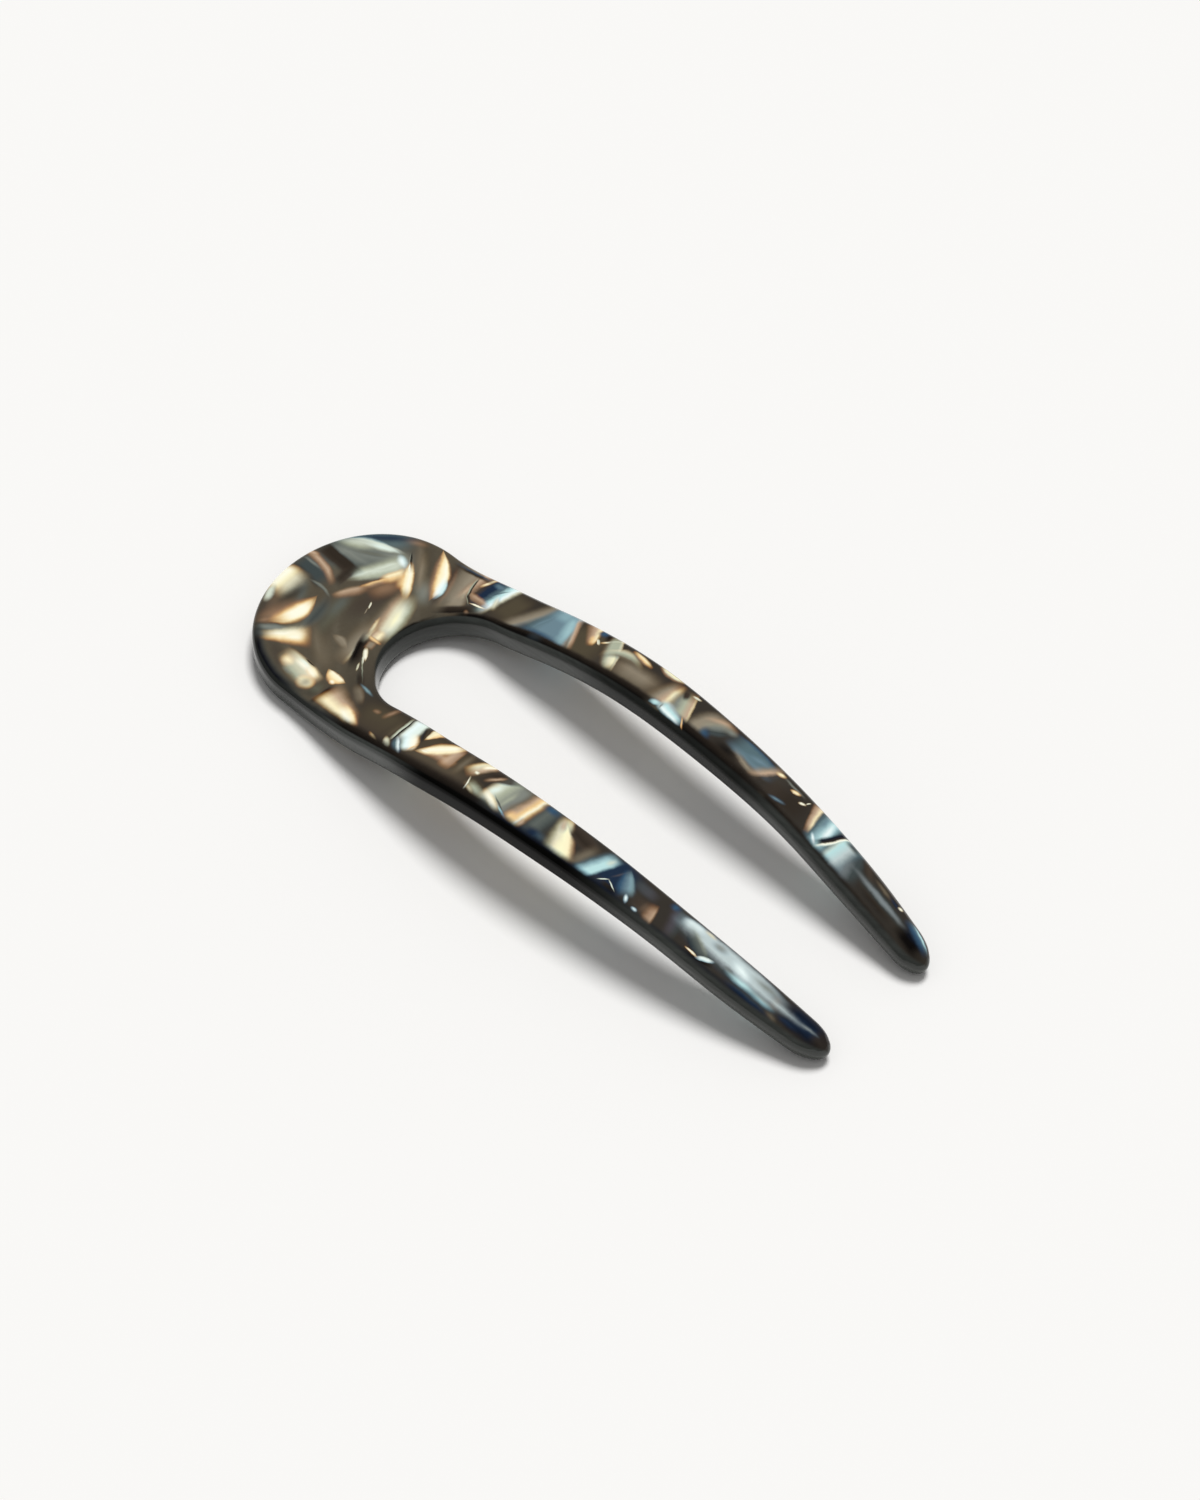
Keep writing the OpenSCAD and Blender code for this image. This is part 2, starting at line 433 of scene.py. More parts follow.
class NodeBench:
    """Makes the nodes of one tree."""

    def __init__(self, tree: bpy.types.NodeTree) -> None:
        """Keep the tree."""
        self.tree = tree

    def node(
        self,
        kind: str,
        settings: Optional[dict[str, Any]] = None,
        sockets: Optional[dict[Union[str, int], Link]] = None,
    ) -> bpy.types.Node:
        """Add a node.

        Args:
            kind: the node's type.
            settings: its own settings, set before its sockets. "stops" gives a ramp's stops.
            sockets: values or links of its inputs, by name or by number.

        Returns:
            The new node.
        """
        made = self.tree.nodes.new(kind)
        for name, setting in (settings or {}).items():
            if name == "stops":
                self._set_stops(made, setting)
            else:
                setattr(made, name, setting)
        for name, link in (sockets or {}).items():
            self._feed(made.inputs[name], link)
        return made

    def _set_stops(self, ramp: bpy.types.Node, stops: Sequence[tuple[float, Sequence[float]]]) -> None:
        """Give a ramp its stops.

        Args:
            ramp: the ramp's node.
            stops: each a place and a colour.
        """
        elements = ramp.color_ramp.elements
        while len(elements) < len(stops):
            elements.new(1.0)
        for element, (place, colour) in zip(elements, stops):
            element.position = place
            element.color = colour

    def _feed(self, socket: bpy.types.NodeSocket, link: Link) -> None:
        """Set a socket's value, or link it.

        Args:
            socket: the input.
            link: its value, or the output to link it to.
        """
        if isinstance(link, Value):
            link = link.socket
        if isinstance(link, bpy.types.NodeSocket):
            self.tree.links.new(link, socket)
        else:
            socket.default_value = link

    def value(self, socket: bpy.types.NodeSocket) -> Value:
        """Wrap a socket for arithmetic."""
        return Value(self, socket)

    def math(self, operation: str, *inputs: Number) -> Value:
        """Add a Math node.

        Args:
            operation: the node's operation.
            inputs: its values or links, in order.

        Returns:
            The result.
        """
        made = self.node("ShaderNodeMath", {"operation": operation}, dict(enumerate(inputs)))
        return self.value(made.outputs[0])

    def smooth(self, low: float, high: float, value: Number) -> Value:
        """Smooth step of a value from 0 at low to 1 at high.

        Args:
            low: where the step starts.
            high: where it ends, which may be less than low.
            value: the value.

        Returns:
            The step, from 0 to 1.
        """
        made = self.node(
            "ShaderNodeMapRange",
            {"interpolation_type": "SMOOTHSTEP"},
            {"Value": value, "From Min": low, "From Max": high},
        )
        return self.value(made.outputs["Result"])

    def noise(self, place: Link, scale: float, detail: float = 2.0, rough: float = 0.5) -> Value:
        """Noise about zero.

        Args:
            place: where it is read.
            scale: how many waves there are to a unit of place.
            detail: number of finer layers.
            rough: strength of the finer layers.

        Returns:
            Noise, mostly from -0.5 to 0.5.
        """
        made = self.node(
            "ShaderNodeTexNoise",
            {"noise_dimensions": "3D"},
            {"Vector": place, "Scale": scale, "Detail": detail, "Roughness": rough},
        )
        return self.value(made.outputs[0]) - 0.5

    def vector(self, x: Number, y: Number, z: Number = 0.0) -> bpy.types.NodeSocket:
        """Put three values together to a vector."""
        return self.node("ShaderNodeCombineXYZ", {}, {0: x, 1: y, 2: z}).outputs[0]

    def parts(self, vector: Link) -> tuple[Value, Value, Value]:
        """Take a vector apart.

        Args:
            vector: the vector.

        Returns:
            Its three values.
        """
        made = self.node("ShaderNodeSeparateXYZ", {}, {0: vector})
        x, y, z = (self.value(socket) for socket in made.outputs)
        return x, y, z

    def ramp(
        self, factor: Number, stops: Sequence[tuple[float, Sequence[float]]]
    ) -> bpy.types.NodeSocket:
        """Colour of a ramp at a factor."""
        made = self.node("ShaderNodeValToRGB", {"stops": stops}, {"Fac": factor})
        return made.outputs["Color"]

    def blend(self, factor: Number, below: Link, above: Link) -> bpy.types.NodeSocket:
        """Mix two colours.

        Args:
            factor: 0 for the first colour, 1 for the second.
            below: the first colour.
            above: the second colour.

        Returns:
            The mixed colour.
        """
        made = self.node(
            "ShaderNodeMix",
            {"data_type": "RGBA"},
            {"Factor": factor, MixInput.COLOUR_BELOW: below, MixInput.COLOUR_ABOVE: above},
        )
        return made.outputs[MixOutput.COLOUR]

    def blend_apart(self, shares: Link, below: Link, above: Link) -> bpy.types.NodeSocket:
        """Mix two colours with a share of its own for each of red, green and blue.

        Args:
            shares: 0 to 1 for each, as a vector.
            below: the first colour.
            above: the second colour.

        Returns:
            The mixed colour.
        """
        made = self.node(
            "ShaderNodeMix",
            {"data_type": "VECTOR", "factor_mode": "NON_UNIFORM"},
            {
                MixInput.VECTOR_SHARES: shares,
                MixInput.VECTOR_BELOW: below,
                MixInput.VECTOR_ABOVE: above,
            },
        )
        return made.outputs[MixOutput.VECTOR]


class Tint(Enum):
    """Colours of the pearl sheet and of the light painted on it, as seen on a screen."""

    BLACK = (16, 14, 13)
    INK = (20, 28, 42)
    NAVY = (32, 46, 66)
    BLUE = (56, 84, 108)
    UMBER = (50, 43, 36)
    BROWN = (68, 59, 51)
    OLIVE = (80, 72, 57)
    MOSS = (92, 92, 78)
    SLATE = (64, 72, 72)
    GREY = (94, 100, 95)
    ASH = (128, 132, 124)
    TAN = (116, 107, 91)
    HAZE = (146, 136, 118)
    COPPER = (148, 120, 96)
    PEACH = (192, 166, 140)
    GOLD = (236, 200, 144)
    CREAM = (253, 240, 198)
    BUTTER = (252, 248, 206)
    WHITE = (255, 252, 230)
    IVORY = (222, 218, 190)
    SAGE = (172, 178, 156)
    PALE = (214, 222, 205)
    MINT = (228, 242, 232)
    TEAL = (88, 110, 116)
    STEEL = (108, 133, 144)
    SKY = (146, 179, 185)
    ICE = (188, 225, 225)
    FROST = (238, 252, 250)
    DUSK = (76, 73, 78)
    FOG = (192, 206, 206)
    MIST = (126, 134, 136)


# Warmth of a blue fold's edges and of a golden one's, and the lead of red over blue of the latter
COOLEST = -0.25
WARMEST = 1.0
WARM_LEAD = 40.0


@dataclass(frozen=True)
class Fold:
    """One fold of pearl in the sheet, seen from above, in millimetres.

    x and y place its middle, long and wide are its lengths, and turn is the direction of its
    long axis in degrees. tints names the colours across it, from the right of that direction to
    the left, each after its place from 0 to 1 or else evenly spaced. bend bows its two ends to
    the left, in half widths. lens is 1 for pointed ends and 0 for square ones. taper widens its
    far end and narrows its start. soft is the share of a half length that each edge fades over,
    and low, high, start and end give it for the right, the left and the two ends alone. warm
    is how gold its faded edges look, and comes from its tints if it isn't given.
    """

    x: float
    y: float
    long: float
    wide: float
    turn: float
    tints: str
    bend: float = 0.0
    lens: float = 0.0
    taper: float = 0.0
    soft: float = 0.5
    low: Optional[float] = None
    high: Optional[float] = None
    start: Optional[float] = None
    end: Optional[float] = None
    strength: float = 1.0
    warm: Optional[float] = None

    def shades(self) -> list[Shade]:
        """Colours across the fold, as seen on a screen."""
        return [Tint[word].value for word in self.tints.split() if word.isalpha()]

    def stops(self) -> list[tuple[float, tuple[float, ...]]]:
        """Places and colours across the fold.

        Returns:
            Pairs of a place from 0 to 1 and a linear colour.
        """
        shades = self.shades()
        places = [float(word) for word in self.tints.split() if not word.isalpha()]
        if not places:
            places = [i / max(1, len(shades) - 1) for i in range(len(shades))]
        return [(place, linear(*shade)) for place, shade in zip(places, shades)]

    def reach(self) -> tuple[float, float]:
        """How far the fold reaches from its middle, with its bend and taper.

        Returns:
            The reach along X and along Y, in millimetres.
        """
        turn = math.radians(self.turn)
        c, s = abs(math.cos(turn)), abs(math.sin(turn))
        long = self.long / 2
        wide = self.wide / 2 * (1.0 + abs(self.taper) + abs(self.bend))
        return (c * long + s * wide, s * long + c * wide)

    def fade(self, edge: str, softer: float) -> tuple[float, float]:
        """How an edge fades.

        Args:
            edge: "low", "high", "start" or "end".
            softer: share of what is still sharp at the edge that is softened too.

        Returns:
            The rise of the cover to a half length, and the cover's measure at the edge. The
            place where the cover is one half stays where it is.
        """
        share = getattr(self, edge)
        share = self.soft if share is None else share
        wider = share + (1.0 - share) * softer
        return 1.0 / wider, (1.0 + (wider - share) / 2) / wider

    def warmth(self) -> float:
        """How gold the faded edges look, from COOLEST for a blue fold to WARMEST.

        Returns:
            The warmth that the fold was given, or else that of its mean colour.
        """
        if self.warm is not None:
            return self.warm
        shades = self.shades()
        lead = sum(red - blue for red, _, blue in shades) / len(shades)
        return max(COOLEST, min(WARMEST, lead / WARM_LEAD))


# Besides the pearl, the charts hold painted light: black folds along the rims that face the camera's side
# are painted dark reflection, and grey streaks along the tips are painted highlights
# The chart of the head, from its lowest folds to its topmost ones
HEAD_FOLDS: tuple[Fold, ...] = (
    # Quiet changes of the ground
    Fold(-44.2, 3.0, 13, 6.4, 80, "0 BROWN 0.5 BROWN 1 OLIVE", soft=0.7, strength=0.8),
    Fold(-45.6, -4.0, 10, 3.6, -75, "SLATE MOSS OLIVE", soft=0.9, strength=0.7),
    Fold(-41.5, -9.0, 8, 5, -40, "OLIVE TAN OLIVE", soft=0.9, strength=0.5),
    Fold(
        -44.3, 13.6, 9, 4.6, -52, "0 BROWN 0.4 TAN 0.6 OLIVE 1 BROWN",
        bend=-0.3, soft=0.8, strength=0.7,
    ),
    Fold(-47.6, 14.8, 5.5, 2.2, 28, "OLIVE COPPER BROWN", soft=0.9, lens=0.4, strength=0.8),
    Fold(-54.0, -9.0, 7, 5, -60, "OLIVE BROWN COPPER", soft=0.8, strength=0.6),
    Fold(-46.0, -13.8, 8, 3.0, -30, "BROWN BROWN OLIVE", soft=0.8, strength=0.6),
    Fold(-43.9, 5.6, 6.0, 4.2, 66, "0 BROWN 0.5 COPPER 1 COPPER", soft=0.9, strength=0.7),
    Fold(-39.6, 9.0, 7.0, 4.6, -40, "0 MOSS 0.5 ASH 1 HAZE", soft=0.9, strength=0.8),
    Fold(-46.4, -1.2, 7.0, 3.4, -80, "MOSS GREY MOSS", soft=0.9, strength=0.7),
    Fold(-51.9, -3.6, 7.0, 3.0, -60, "MOSS GREY MOSS", soft=1, strength=0.8),
    Fold(-47.6, -6.8, 9.0, 2.4, -72, "OLIVE GREY SLATE", bend=-0.3, soft=1, strength=0.8),
    Fold(-43.6, -8.4, 9.0, 3.4, -36, "OLIVE TAN OLIVE", soft=1, strength=0.7),
    Fold(-42.6, 11.6, 9.0, 2.6, -52, "OLIVE HAZE MOSS", soft=1, strength=0.7),
    Fold(-34.6, -12.4, 7.6, 3.6, -30, "OLIVE TAN OLIVE", soft=1, strength=0.6),
    # Grey blue sheet at the back on the left
    Fold(
        -50.9, 8.8, 13.5, 8.6, 38, "0 MOSS 0.2 GREY 0.45 ASH 0.6 GREY 0.8 TEAL 1 SLATE",
        soft=0.4, low=0.3, high=0.1, start=0.2, end=0.3,
    ),
    Fold(-51.0, 12.5, 12, 2.6, 43, "SLATE NAVY TEAL", bend=-0.35, lens=0.5, soft=0.8, strength=0.85),
    Fold(-51.6, 6.8, 8, 2.2, 6, "GREY ASH GREY", soft=0.8, strength=0.7),
    Fold(
        -51.4, 10.0, 9.0, 2.6, 24, "0 GREY 0.35 ASH 0.75 PALE 1 SKY",
        lens=0.9, taper=0.2, low=0.9, high=0.35, start=0.6, end=0.4,
    ),
    Fold(-49.8, 10.9, 7.4, 1.8, 26, "SAGE MINT PALE", lens=0.8, soft=0.9, high=0.5),
    Fold(-53.0, 8.6, 7.4, 3.2, 30, "0 GREY 0.4 SAGE 0.7 PALE 1 ASH", lens=0.7, soft=0.9, strength=0.9),
    Fold(-50.2, 8.9, 7.4, 1.4, 33, "SLATE MOSS GREY", lens=0.9, soft=0.8, strength=0.6),
    Fold(
        -47.4, 7.5, 9.8, 4.0, 64, "0 ASH 0.2 SAGE 0.45 PALE 0.7 SAGE 1 GREY",
        bend=0.1, taper=0.4, low=0.25, high=0.9, start=0.5, end=0.4,
    ),
    Fold(-48.3, 5.4, 4.6, 1.4, 68, "SAGE PALE SAGE", lens=0.6, soft=0.8),
    Fold(-46.9, 8.8, 4.6, 1.5, 66, "SAGE PALE SAGE", lens=0.7, soft=0.8),
    Fold(-46.0, 11.1, 3.2, 2.0, -25, "PALE FROST ICE", lens=0.7, soft=0.9),
    Fold(-45.0, 8.2, 7.4, 1.0, 66, "OLIVE BROWN OLIVE", lens=0.5, soft=0.9, strength=0.8),
    Fold(-45.1, 12.0, 3.6, 0.45, -48, "0 PALE 0.3 BLACK 1 BLACK", lens=0.7, soft=0.4, strength=0.8),
    Fold(-44.3, 10.9, 1.8, 0.35, -48, "WHITE ICE", lens=0.6, soft=0.4),
    # Brown chip, arc and slate arch at the back
    Fold(-53.0, 4.5, 8.4, 3.0, -2, "0 BROWN 0.5 UMBER 1 UMBER", low=0.6, high=0.25, start=0.3, end=0.25),
    Fold(-50.0, 3.0, 4.6, 2.0, -84, "BROWN UMBER BROWN", soft=0.7, high=0.3, strength=0.9),
    Fold(
        -54.0, 0.6, 7.4, 3.4, -5, "0 UMBER 0.35 SLATE 0.7 SLATE 1 GREY",
        bend=-0.3, low=0.3, high=0.4, start=0.5, end=0.5,
    ),
    Fold(-55.0, 1.6, 4.4, 0.9, 2, "GREY ASH GREY", lens=0.5, soft=0.8, strength=0.8),
    Fold(
        -53.7, 2.4, 7.8, 1.9, -13, "0 BROWN 0.3 COPPER 0.55 PEACH 0.8 COPPER 1 BROWN",
        bend=-0.8, soft=0.6, low=0.7, high=0.6,
    ),
    Fold(-56.4, 3.0, 2.2, 1.2, 10, "COPPER PEACH COPPER", soft=0.8),
    # Cream light at the back edge
    Fold(
        -54.4, -3.8, 6.4, 5.6, -82, "0 CREAM 0.5 IVORY 0.8 ASH 1 GREY",
        soft=1, low=0.4, start=0.4, strength=0.95,
    ),
    Fold(
        -56.2, -3.7, 5.4, 3.6, -86, "0 WHITE 0.5 WHITE 0.8 BUTTER 1 IVORY",
        low=0.05, high=0.9, start=0.15, end=0.5, warm=0.9,
    ),
    Fold(-55.2, -6.8, 4.0, 1.8, -64, "PALE PALE ASH", lens=0.5, soft=0.7),
    Fold(-50.7, -0.7, 4.8, 0.8, -4, "SLATE ASH MOSS", bend=-1.2, lens=0.4, soft=0.6, strength=0.8),
    # Almond at the back on the right
    Fold(-47.4, -4.6, 9, 2.6, -78, "GREY SLATE GREY", bend=-0.6, lens=0.4, soft=0.8, strength=0.8),
    Fold(-52.6, -4.8, 6.6, 2.8, -96, "OLIVE UMBER OLIVE", lens=0.5, soft=0.9, strength=0.7),
    Fold(
        -51.5, -8.0, 9.0, 4.8, -110, "0 BROWN 0.5 COPPER 1 PEACH",
        bend=-0.2, lens=0.7, soft=0.9, low=1, strength=0.85,
    ),
    Fold(
        -50.0, -6.9, 8.6, 3.9, -102, "0 COPPER 0.3 GOLD 0.8 CREAM 1 GOLD",
        bend=-0.42, lens=0.9, low=0.9, high=0.45, start=0.5, end=0.8, warm=1,
    ),
    Fold(
        -49.85, -6.6, 6.4, 2.9, -101, "0 CREAM 0.4 WHITE 1 WHITE",
        bend=-0.42, lens=0.9, low=0.8, high=0.5, start=0.5, end=0.8, warm=1,
    ),
    # Wedge beside the almond
    Fold(-50.0, -11.0, 5.6, 1.7, 38, "GREY ASH GREY", lens=0.5, soft=0.6),
    Fold(
        -48.4, -11.0, 7.8, 3.8, 46, "0 COPPER 0.15 GOLD 0.35 CREAM 0.5 WHITE 0.65 IVORY 0.8 ASH 1 GREY",
        taper=0.5, low=0.6, high=0.8, start=1, end=0.35, warm=1,
    ),
    Fold(-46.7, -9.9, 3.6, 2.6, 46, "0 GOLD 0.4 WHITE 1 CREAM", taper=0.3, soft=0.9, warm=1),
    Fold(-50.6, -13.2, 3.6, 3.2, 46, "OLIVE GREY SLATE", soft=1, strength=0.75),
    Fold(-52.0, -10.9, 3.0, 1.8, -120, "BROWN COPPER BROWN", soft=1, strength=0.8),
    # Rims of the brown panel
    Fold(
        -46.9, 1.6, 5.4, 2.4, 62, "0 BROWN 0.4 COPPER 0.7 PEACH 1 TAN",
        lens=0.4, low=0.9, high=0.4, start=0.5, end=0.6, strength=0.9,
    ),
    Fold(
        -45.6, 5.2, 5.0, 1.6, 66, "0 BROWN 0.5 COPPER 0.8 GOLD 1 COPPER",
        lens=0.3, low=1, high=0.4, start=0.7, end=0.5,
    ),
    Fold(
        -44.6, 8.0, 4.2, 2.4, 64, "0 COPPER 0.5 GOLD 0.75 CREAM 1 GOLD",
        low=1, high=0.4, start=0.7, end=0.4, taper=0.2, warm=1,
    ),
    Fold(-43.2, 8.4, 3.0, 2.6, -50, "0 COPPER 0.5 GOLD 1 GOLD", low=1, high=0.8, soft=0.8, warm=1),
    Fold(
        -42.7, 8.9, 6.8, 1.9, -53, "0 GOLD 0.3 CREAM 0.6 WHITE 0.85 CREAM 1 GOLD",
        lens=0.5, low=0.6, high=0.4, start=0.4, end=0.7, warm=1,
    ),
    # Pale band next to the gap
    Fold(
        -40.9, 2.2, 11, 2.6, -79, "0 OLIVE 0.5 TAN 1 HAZE",
        lens=0.2, low=1, high=0.8, start=0.6, end=0.5,
    ),
    Fold(
        -39.2, 2.9, 10.0, 4.8, -71, "0 TAN 0.2 PEACH 0.4 IVORY 0.6 PALE 0.85 SAGE 1 SAGE",
        lens=0.3, low=0.8, high=0.4, start=0.7, end=0.35,
    ),
    Fold(-38.7, 2.6, 6.6, 2.8, -70, "IVORY BUTTER MINT", lens=0.5, soft=1),
    Fold(-40.0, -0.6, 4.6, 1.0, -72, "PEACH CREAM PEACH", lens=0.6, soft=0.9, strength=0.8),
    Fold(-38.3, -1.4, 2.6, 3.0, -80, "0 COPPER 0.3 PEACH 0.6 CREAM 1 HAZE", soft=0.7),
    Fold(-38.1, -2.3, 3.0, 0.9, -4, "COPPER GOLD COPPER", soft=0.6, lens=0.4),
    Fold(
        -40.3, -4.2, 9.6, 3.6, -79, "0 OLIVE 0.4 TAN 0.75 HAZE 0.92 IVORY 1 HAZE",
        low=1, high=0.15, start=0.9, end=0.7,
    ),
    Fold(
        -41.4, -5.6, 3.4, 2.0, -10, "0 TAN 0.6 HAZE 1 OLIVE",
        lens=0.8, soft=0.6, bend=-0.4, strength=0.9,
    ),
    Fold(-43.3, 1.9, 1.3, 0.35, -62, "SAGE WHITE", lens=0.6, soft=0.4),
    Fold(-43.0, 0.8, 1.6, 0.25, -72, "TAN HAZE", lens=0.6, soft=0.6),
    # Second almond and beige panel on the left
    Fold(
        -36.9, 12.6, 10.0, 6.4, -73, "0 OLIVE 0.3 BROWN 0.45 TAN 0.7 HAZE 1 HAZE",
        low=0.5, high=0.1, start=0.2, end=0.4,
    ),
    Fold(-34.9, 13.4, 4.6, 1.4, -72, "TAN SAGE HAZE", lens=0.4, soft=0.7, strength=0.8),
    Fold(-37.5, 12.6, 8.5, 1.5, -66, "OLIVE COPPER TAN", bend=-0.6, lens=0.4, soft=0.9, strength=0.4),
    Fold(-35.4, 9.8, 3.4, 2.0, -60, "BROWN TAN HAZE", lens=0.4, soft=0.9, strength=0.6),
    Fold(
        -40.1, 12.9, 10.0, 3.4, -57, "0 BROWN 0.25 COPPER 0.5 GOLD 0.8 CREAM 1 COPPER",
        bend=-0.3, lens=0.95, low=0.8, high=0.35, start=0.2, end=0.7, warm=1,
    ),
    Fold(
        -39.7, 13.0, 8.2, 2.1, -57, "0 GOLD 0.35 CREAM 0.7 WHITE 1 CREAM",
        bend=-0.4, lens=0.95, low=0.6, high=0.4, start=0.3, end=0.7, warm=1,
    ),
    Fold(-38.3, 11.4, 5.0, 1.8, -66, "0 WHITE 0.5 FROST 1 ICE", bend=-0.25, lens=0.7, soft=0.7, high=0.3),
    # Copper ring and navy eye at the root of the left prong
    Fold(
        -32.0, 15.0, 8.0, 7.4, -96,
        "0 COPPER 0.1 PEACH 0.2 COPPER 0.3 BROWN 0.42 NAVY "
        "0.52 NAVY 0.64 TEAL 0.74 ICE 0.84 FROST 0.92 IVORY 1 OLIVE",
        taper=-0.12, low=0.06, high=0.2, start=0.05, end=0.6,
    ),
    Fold(-33.4, 16.6, 3.2, 1.0, 70, "COPPER CREAM PEACH", lens=0.4, soft=0.7),
    Fold(
        -32.0, 12.9, 5.4, 1.8, -8, "0 BROWN 0.4 COPPER 0.7 PEACH 1 COPPER",
        bend=-0.3, low=0.5, high=0.9, start=0.6, end=0.8,
    ),
    Fold(-31.6, 16.9, 2.6, 1.6, 0, "BLUE STEEL TEAL", lens=0.4, soft=0.8, strength=0.7),
    Fold(-30.4, 16.0, 3.4, 0.5, 52, "BLUE NAVY", lens=0.6, soft=0.7, strength=0.6),
    Fold(-29.4, 13.9, 3.6, 1.4, -60, "SAGE IVORY OLIVE", lens=0.4, soft=0.8, strength=0.8),
    Fold(-34.8, 14.4, 4.2, 0.6, -68, "0 HAZE 0.3 SAGE 0.6 UMBER 1 BROWN", bend=0.5, lens=0.2, soft=0.3),
    Fold(-33.4, 12.3, 2.4, 0.6, -38, "0 SAGE 0.4 UMBER 1 BROWN", soft=0.4),
    Fold(-36.4, 16.7, 9.0, 1.1, 4, "0 OLIVE 0.4 UMBER 1 BLUE", soft=0.7),
    # The black of this band along the gap's rim is painted dark reflection
    Fold(-33.4, 9.6, 7.0, 2.0, 38, "0 BLACK 0.6 UMBER 1 BROWN", lens=0.2, low=0.3, high=0.6, soft=0.6),
    Fold(-31.3, 11.95, 3.0, 0.45, 7, "IVORY WHITE IVORY", lens=0.6, soft=0.5),
    Fold(-31.4, 9.8, 2.0, 1.1, -40, "UMBER COPPER UMBER", lens=0.5, soft=0.8),
    # Dark bend by the gap, with chips
    Fold(
        -37.9, -5.6, 7.6, 2.0, -62, "0 UMBER 0.3 BLACK 0.7 UMBER 1 BLACK",
        lens=0.3, low=0.2, high=0.6, start=0.3, end=0.8,
    ),
    Fold(-37.7, -3.4, 1.8, 1.6, -78, "COPPER HAZE COPPER", soft=0.6, strength=0.9),
    Fold(-36.9, -5.2, 2.8, 0.9, -46, "0 SAGE 0.5 WHITE 1 IVORY", lens=0.6, taper=-0.3, soft=0.4),
    Fold(-36.3, -6.3, 2.0, 0.4, -50, "SAGE WHITE", lens=0.6, soft=0.5),
    Fold(-35.9, -7.7, 1.8, 0.4, -58, "SAGE IVORY", lens=0.6, soft=0.5),
    Fold(-34.6, -8.0, 6.4, 0.35, -44, "UMBER SAGE UMBER", lens=0.5, soft=0.6, strength=0.8),
    Fold(-33.2, -9.6, 6.0, 1.6, -42, "BLACK UMBER BROWN", lens=0.5, soft=0.7, strength=0.8),
    # Pale patch and flecks on the right
    Fold(
        -42.2, -13.7, 7.4, 4.2, -9, "0 TAN 0.3 SAGE 0.65 IVORY 1 IVORY",
        lens=0.2, taper=0.15, low=0.6, high=0.15, start=0.6, end=0.3,
    ),
    Fold(-44.2, -13.6, 2.6, 2.8, -4, "PEACH CREAM PEACH", lens=0.4, soft=0.9),
    Fold(-42.9, -15.0, 2.4, 1.2, 0, "MOSS ASH SAGE", lens=0.4, soft=0.9, strength=0.7),
    Fold(-42.0, -12.8, 3.6, 1.8, -4, "0 SAGE 0.5 WHITE 1 MINT", lens=0.4, soft=0.8, high=0.25),
    Fold(-40.2, -12.8, 3.4, 1.7, -14, "0 GOLD 0.5 WHITE 1 CREAM", lens=0.5, soft=0.8, high=0.4),
    Fold(-39.5, -14.7, 3.2, 3.2, 0, "COPPER CREAM GOLD", lens=0.5, soft=0.7, warm=1),
    Fold(-39.4, -14.7, 2.6, 2.4, 0, "TAN HAZE TAN", lens=0.5, soft=1, strength=0.7),
    Fold(-41.6, -11.65, 2.4, 0.35, -4, "BLACK UMBER", lens=0.3, soft=0.6, strength=0.9),
    Fold(-37.3, -14.6, 1.8, 3.8, 0, "UMBER MOSS OLIVE", soft=0.7),
    Fold(
        -36.9, -11.6, 3.8, 2.2, -6, "0 COPPER 0.3 GOLD 0.6 CREAM 1 WHITE",
        bend=0.5, lens=0.8, low=0.5, high=0.2, start=0.3, end=0.3, warm=1,
    ),
    Fold(-36.5, -12.2, 1.4, 1.2, -6, "GOLD WHITE CREAM", lens=0.6, soft=0.9),
    Fold(-35.8, -14.9, 4.6, 1.1, -92, "BROWN BLACK BROWN", soft=0.5),
    # Rim round the bend, black as painted dark reflection
    Fold(
        -36.1, 1.0, 13, 1.7, 90, "0 BLACK 0.7 BLACK 1 UMBER",
        bend=-2.6, low=0.1, high=0.7, soft=0.6, warm=0.2,
    ),
    Fold(
        -29.4, 10.3, 10, 1.9, 20, "0 BLACK 0.6 BLACK 1 UMBER",
        bend=-1.2, low=0.1, high=0.7, soft=0.6, warm=0.2,
    ),
)

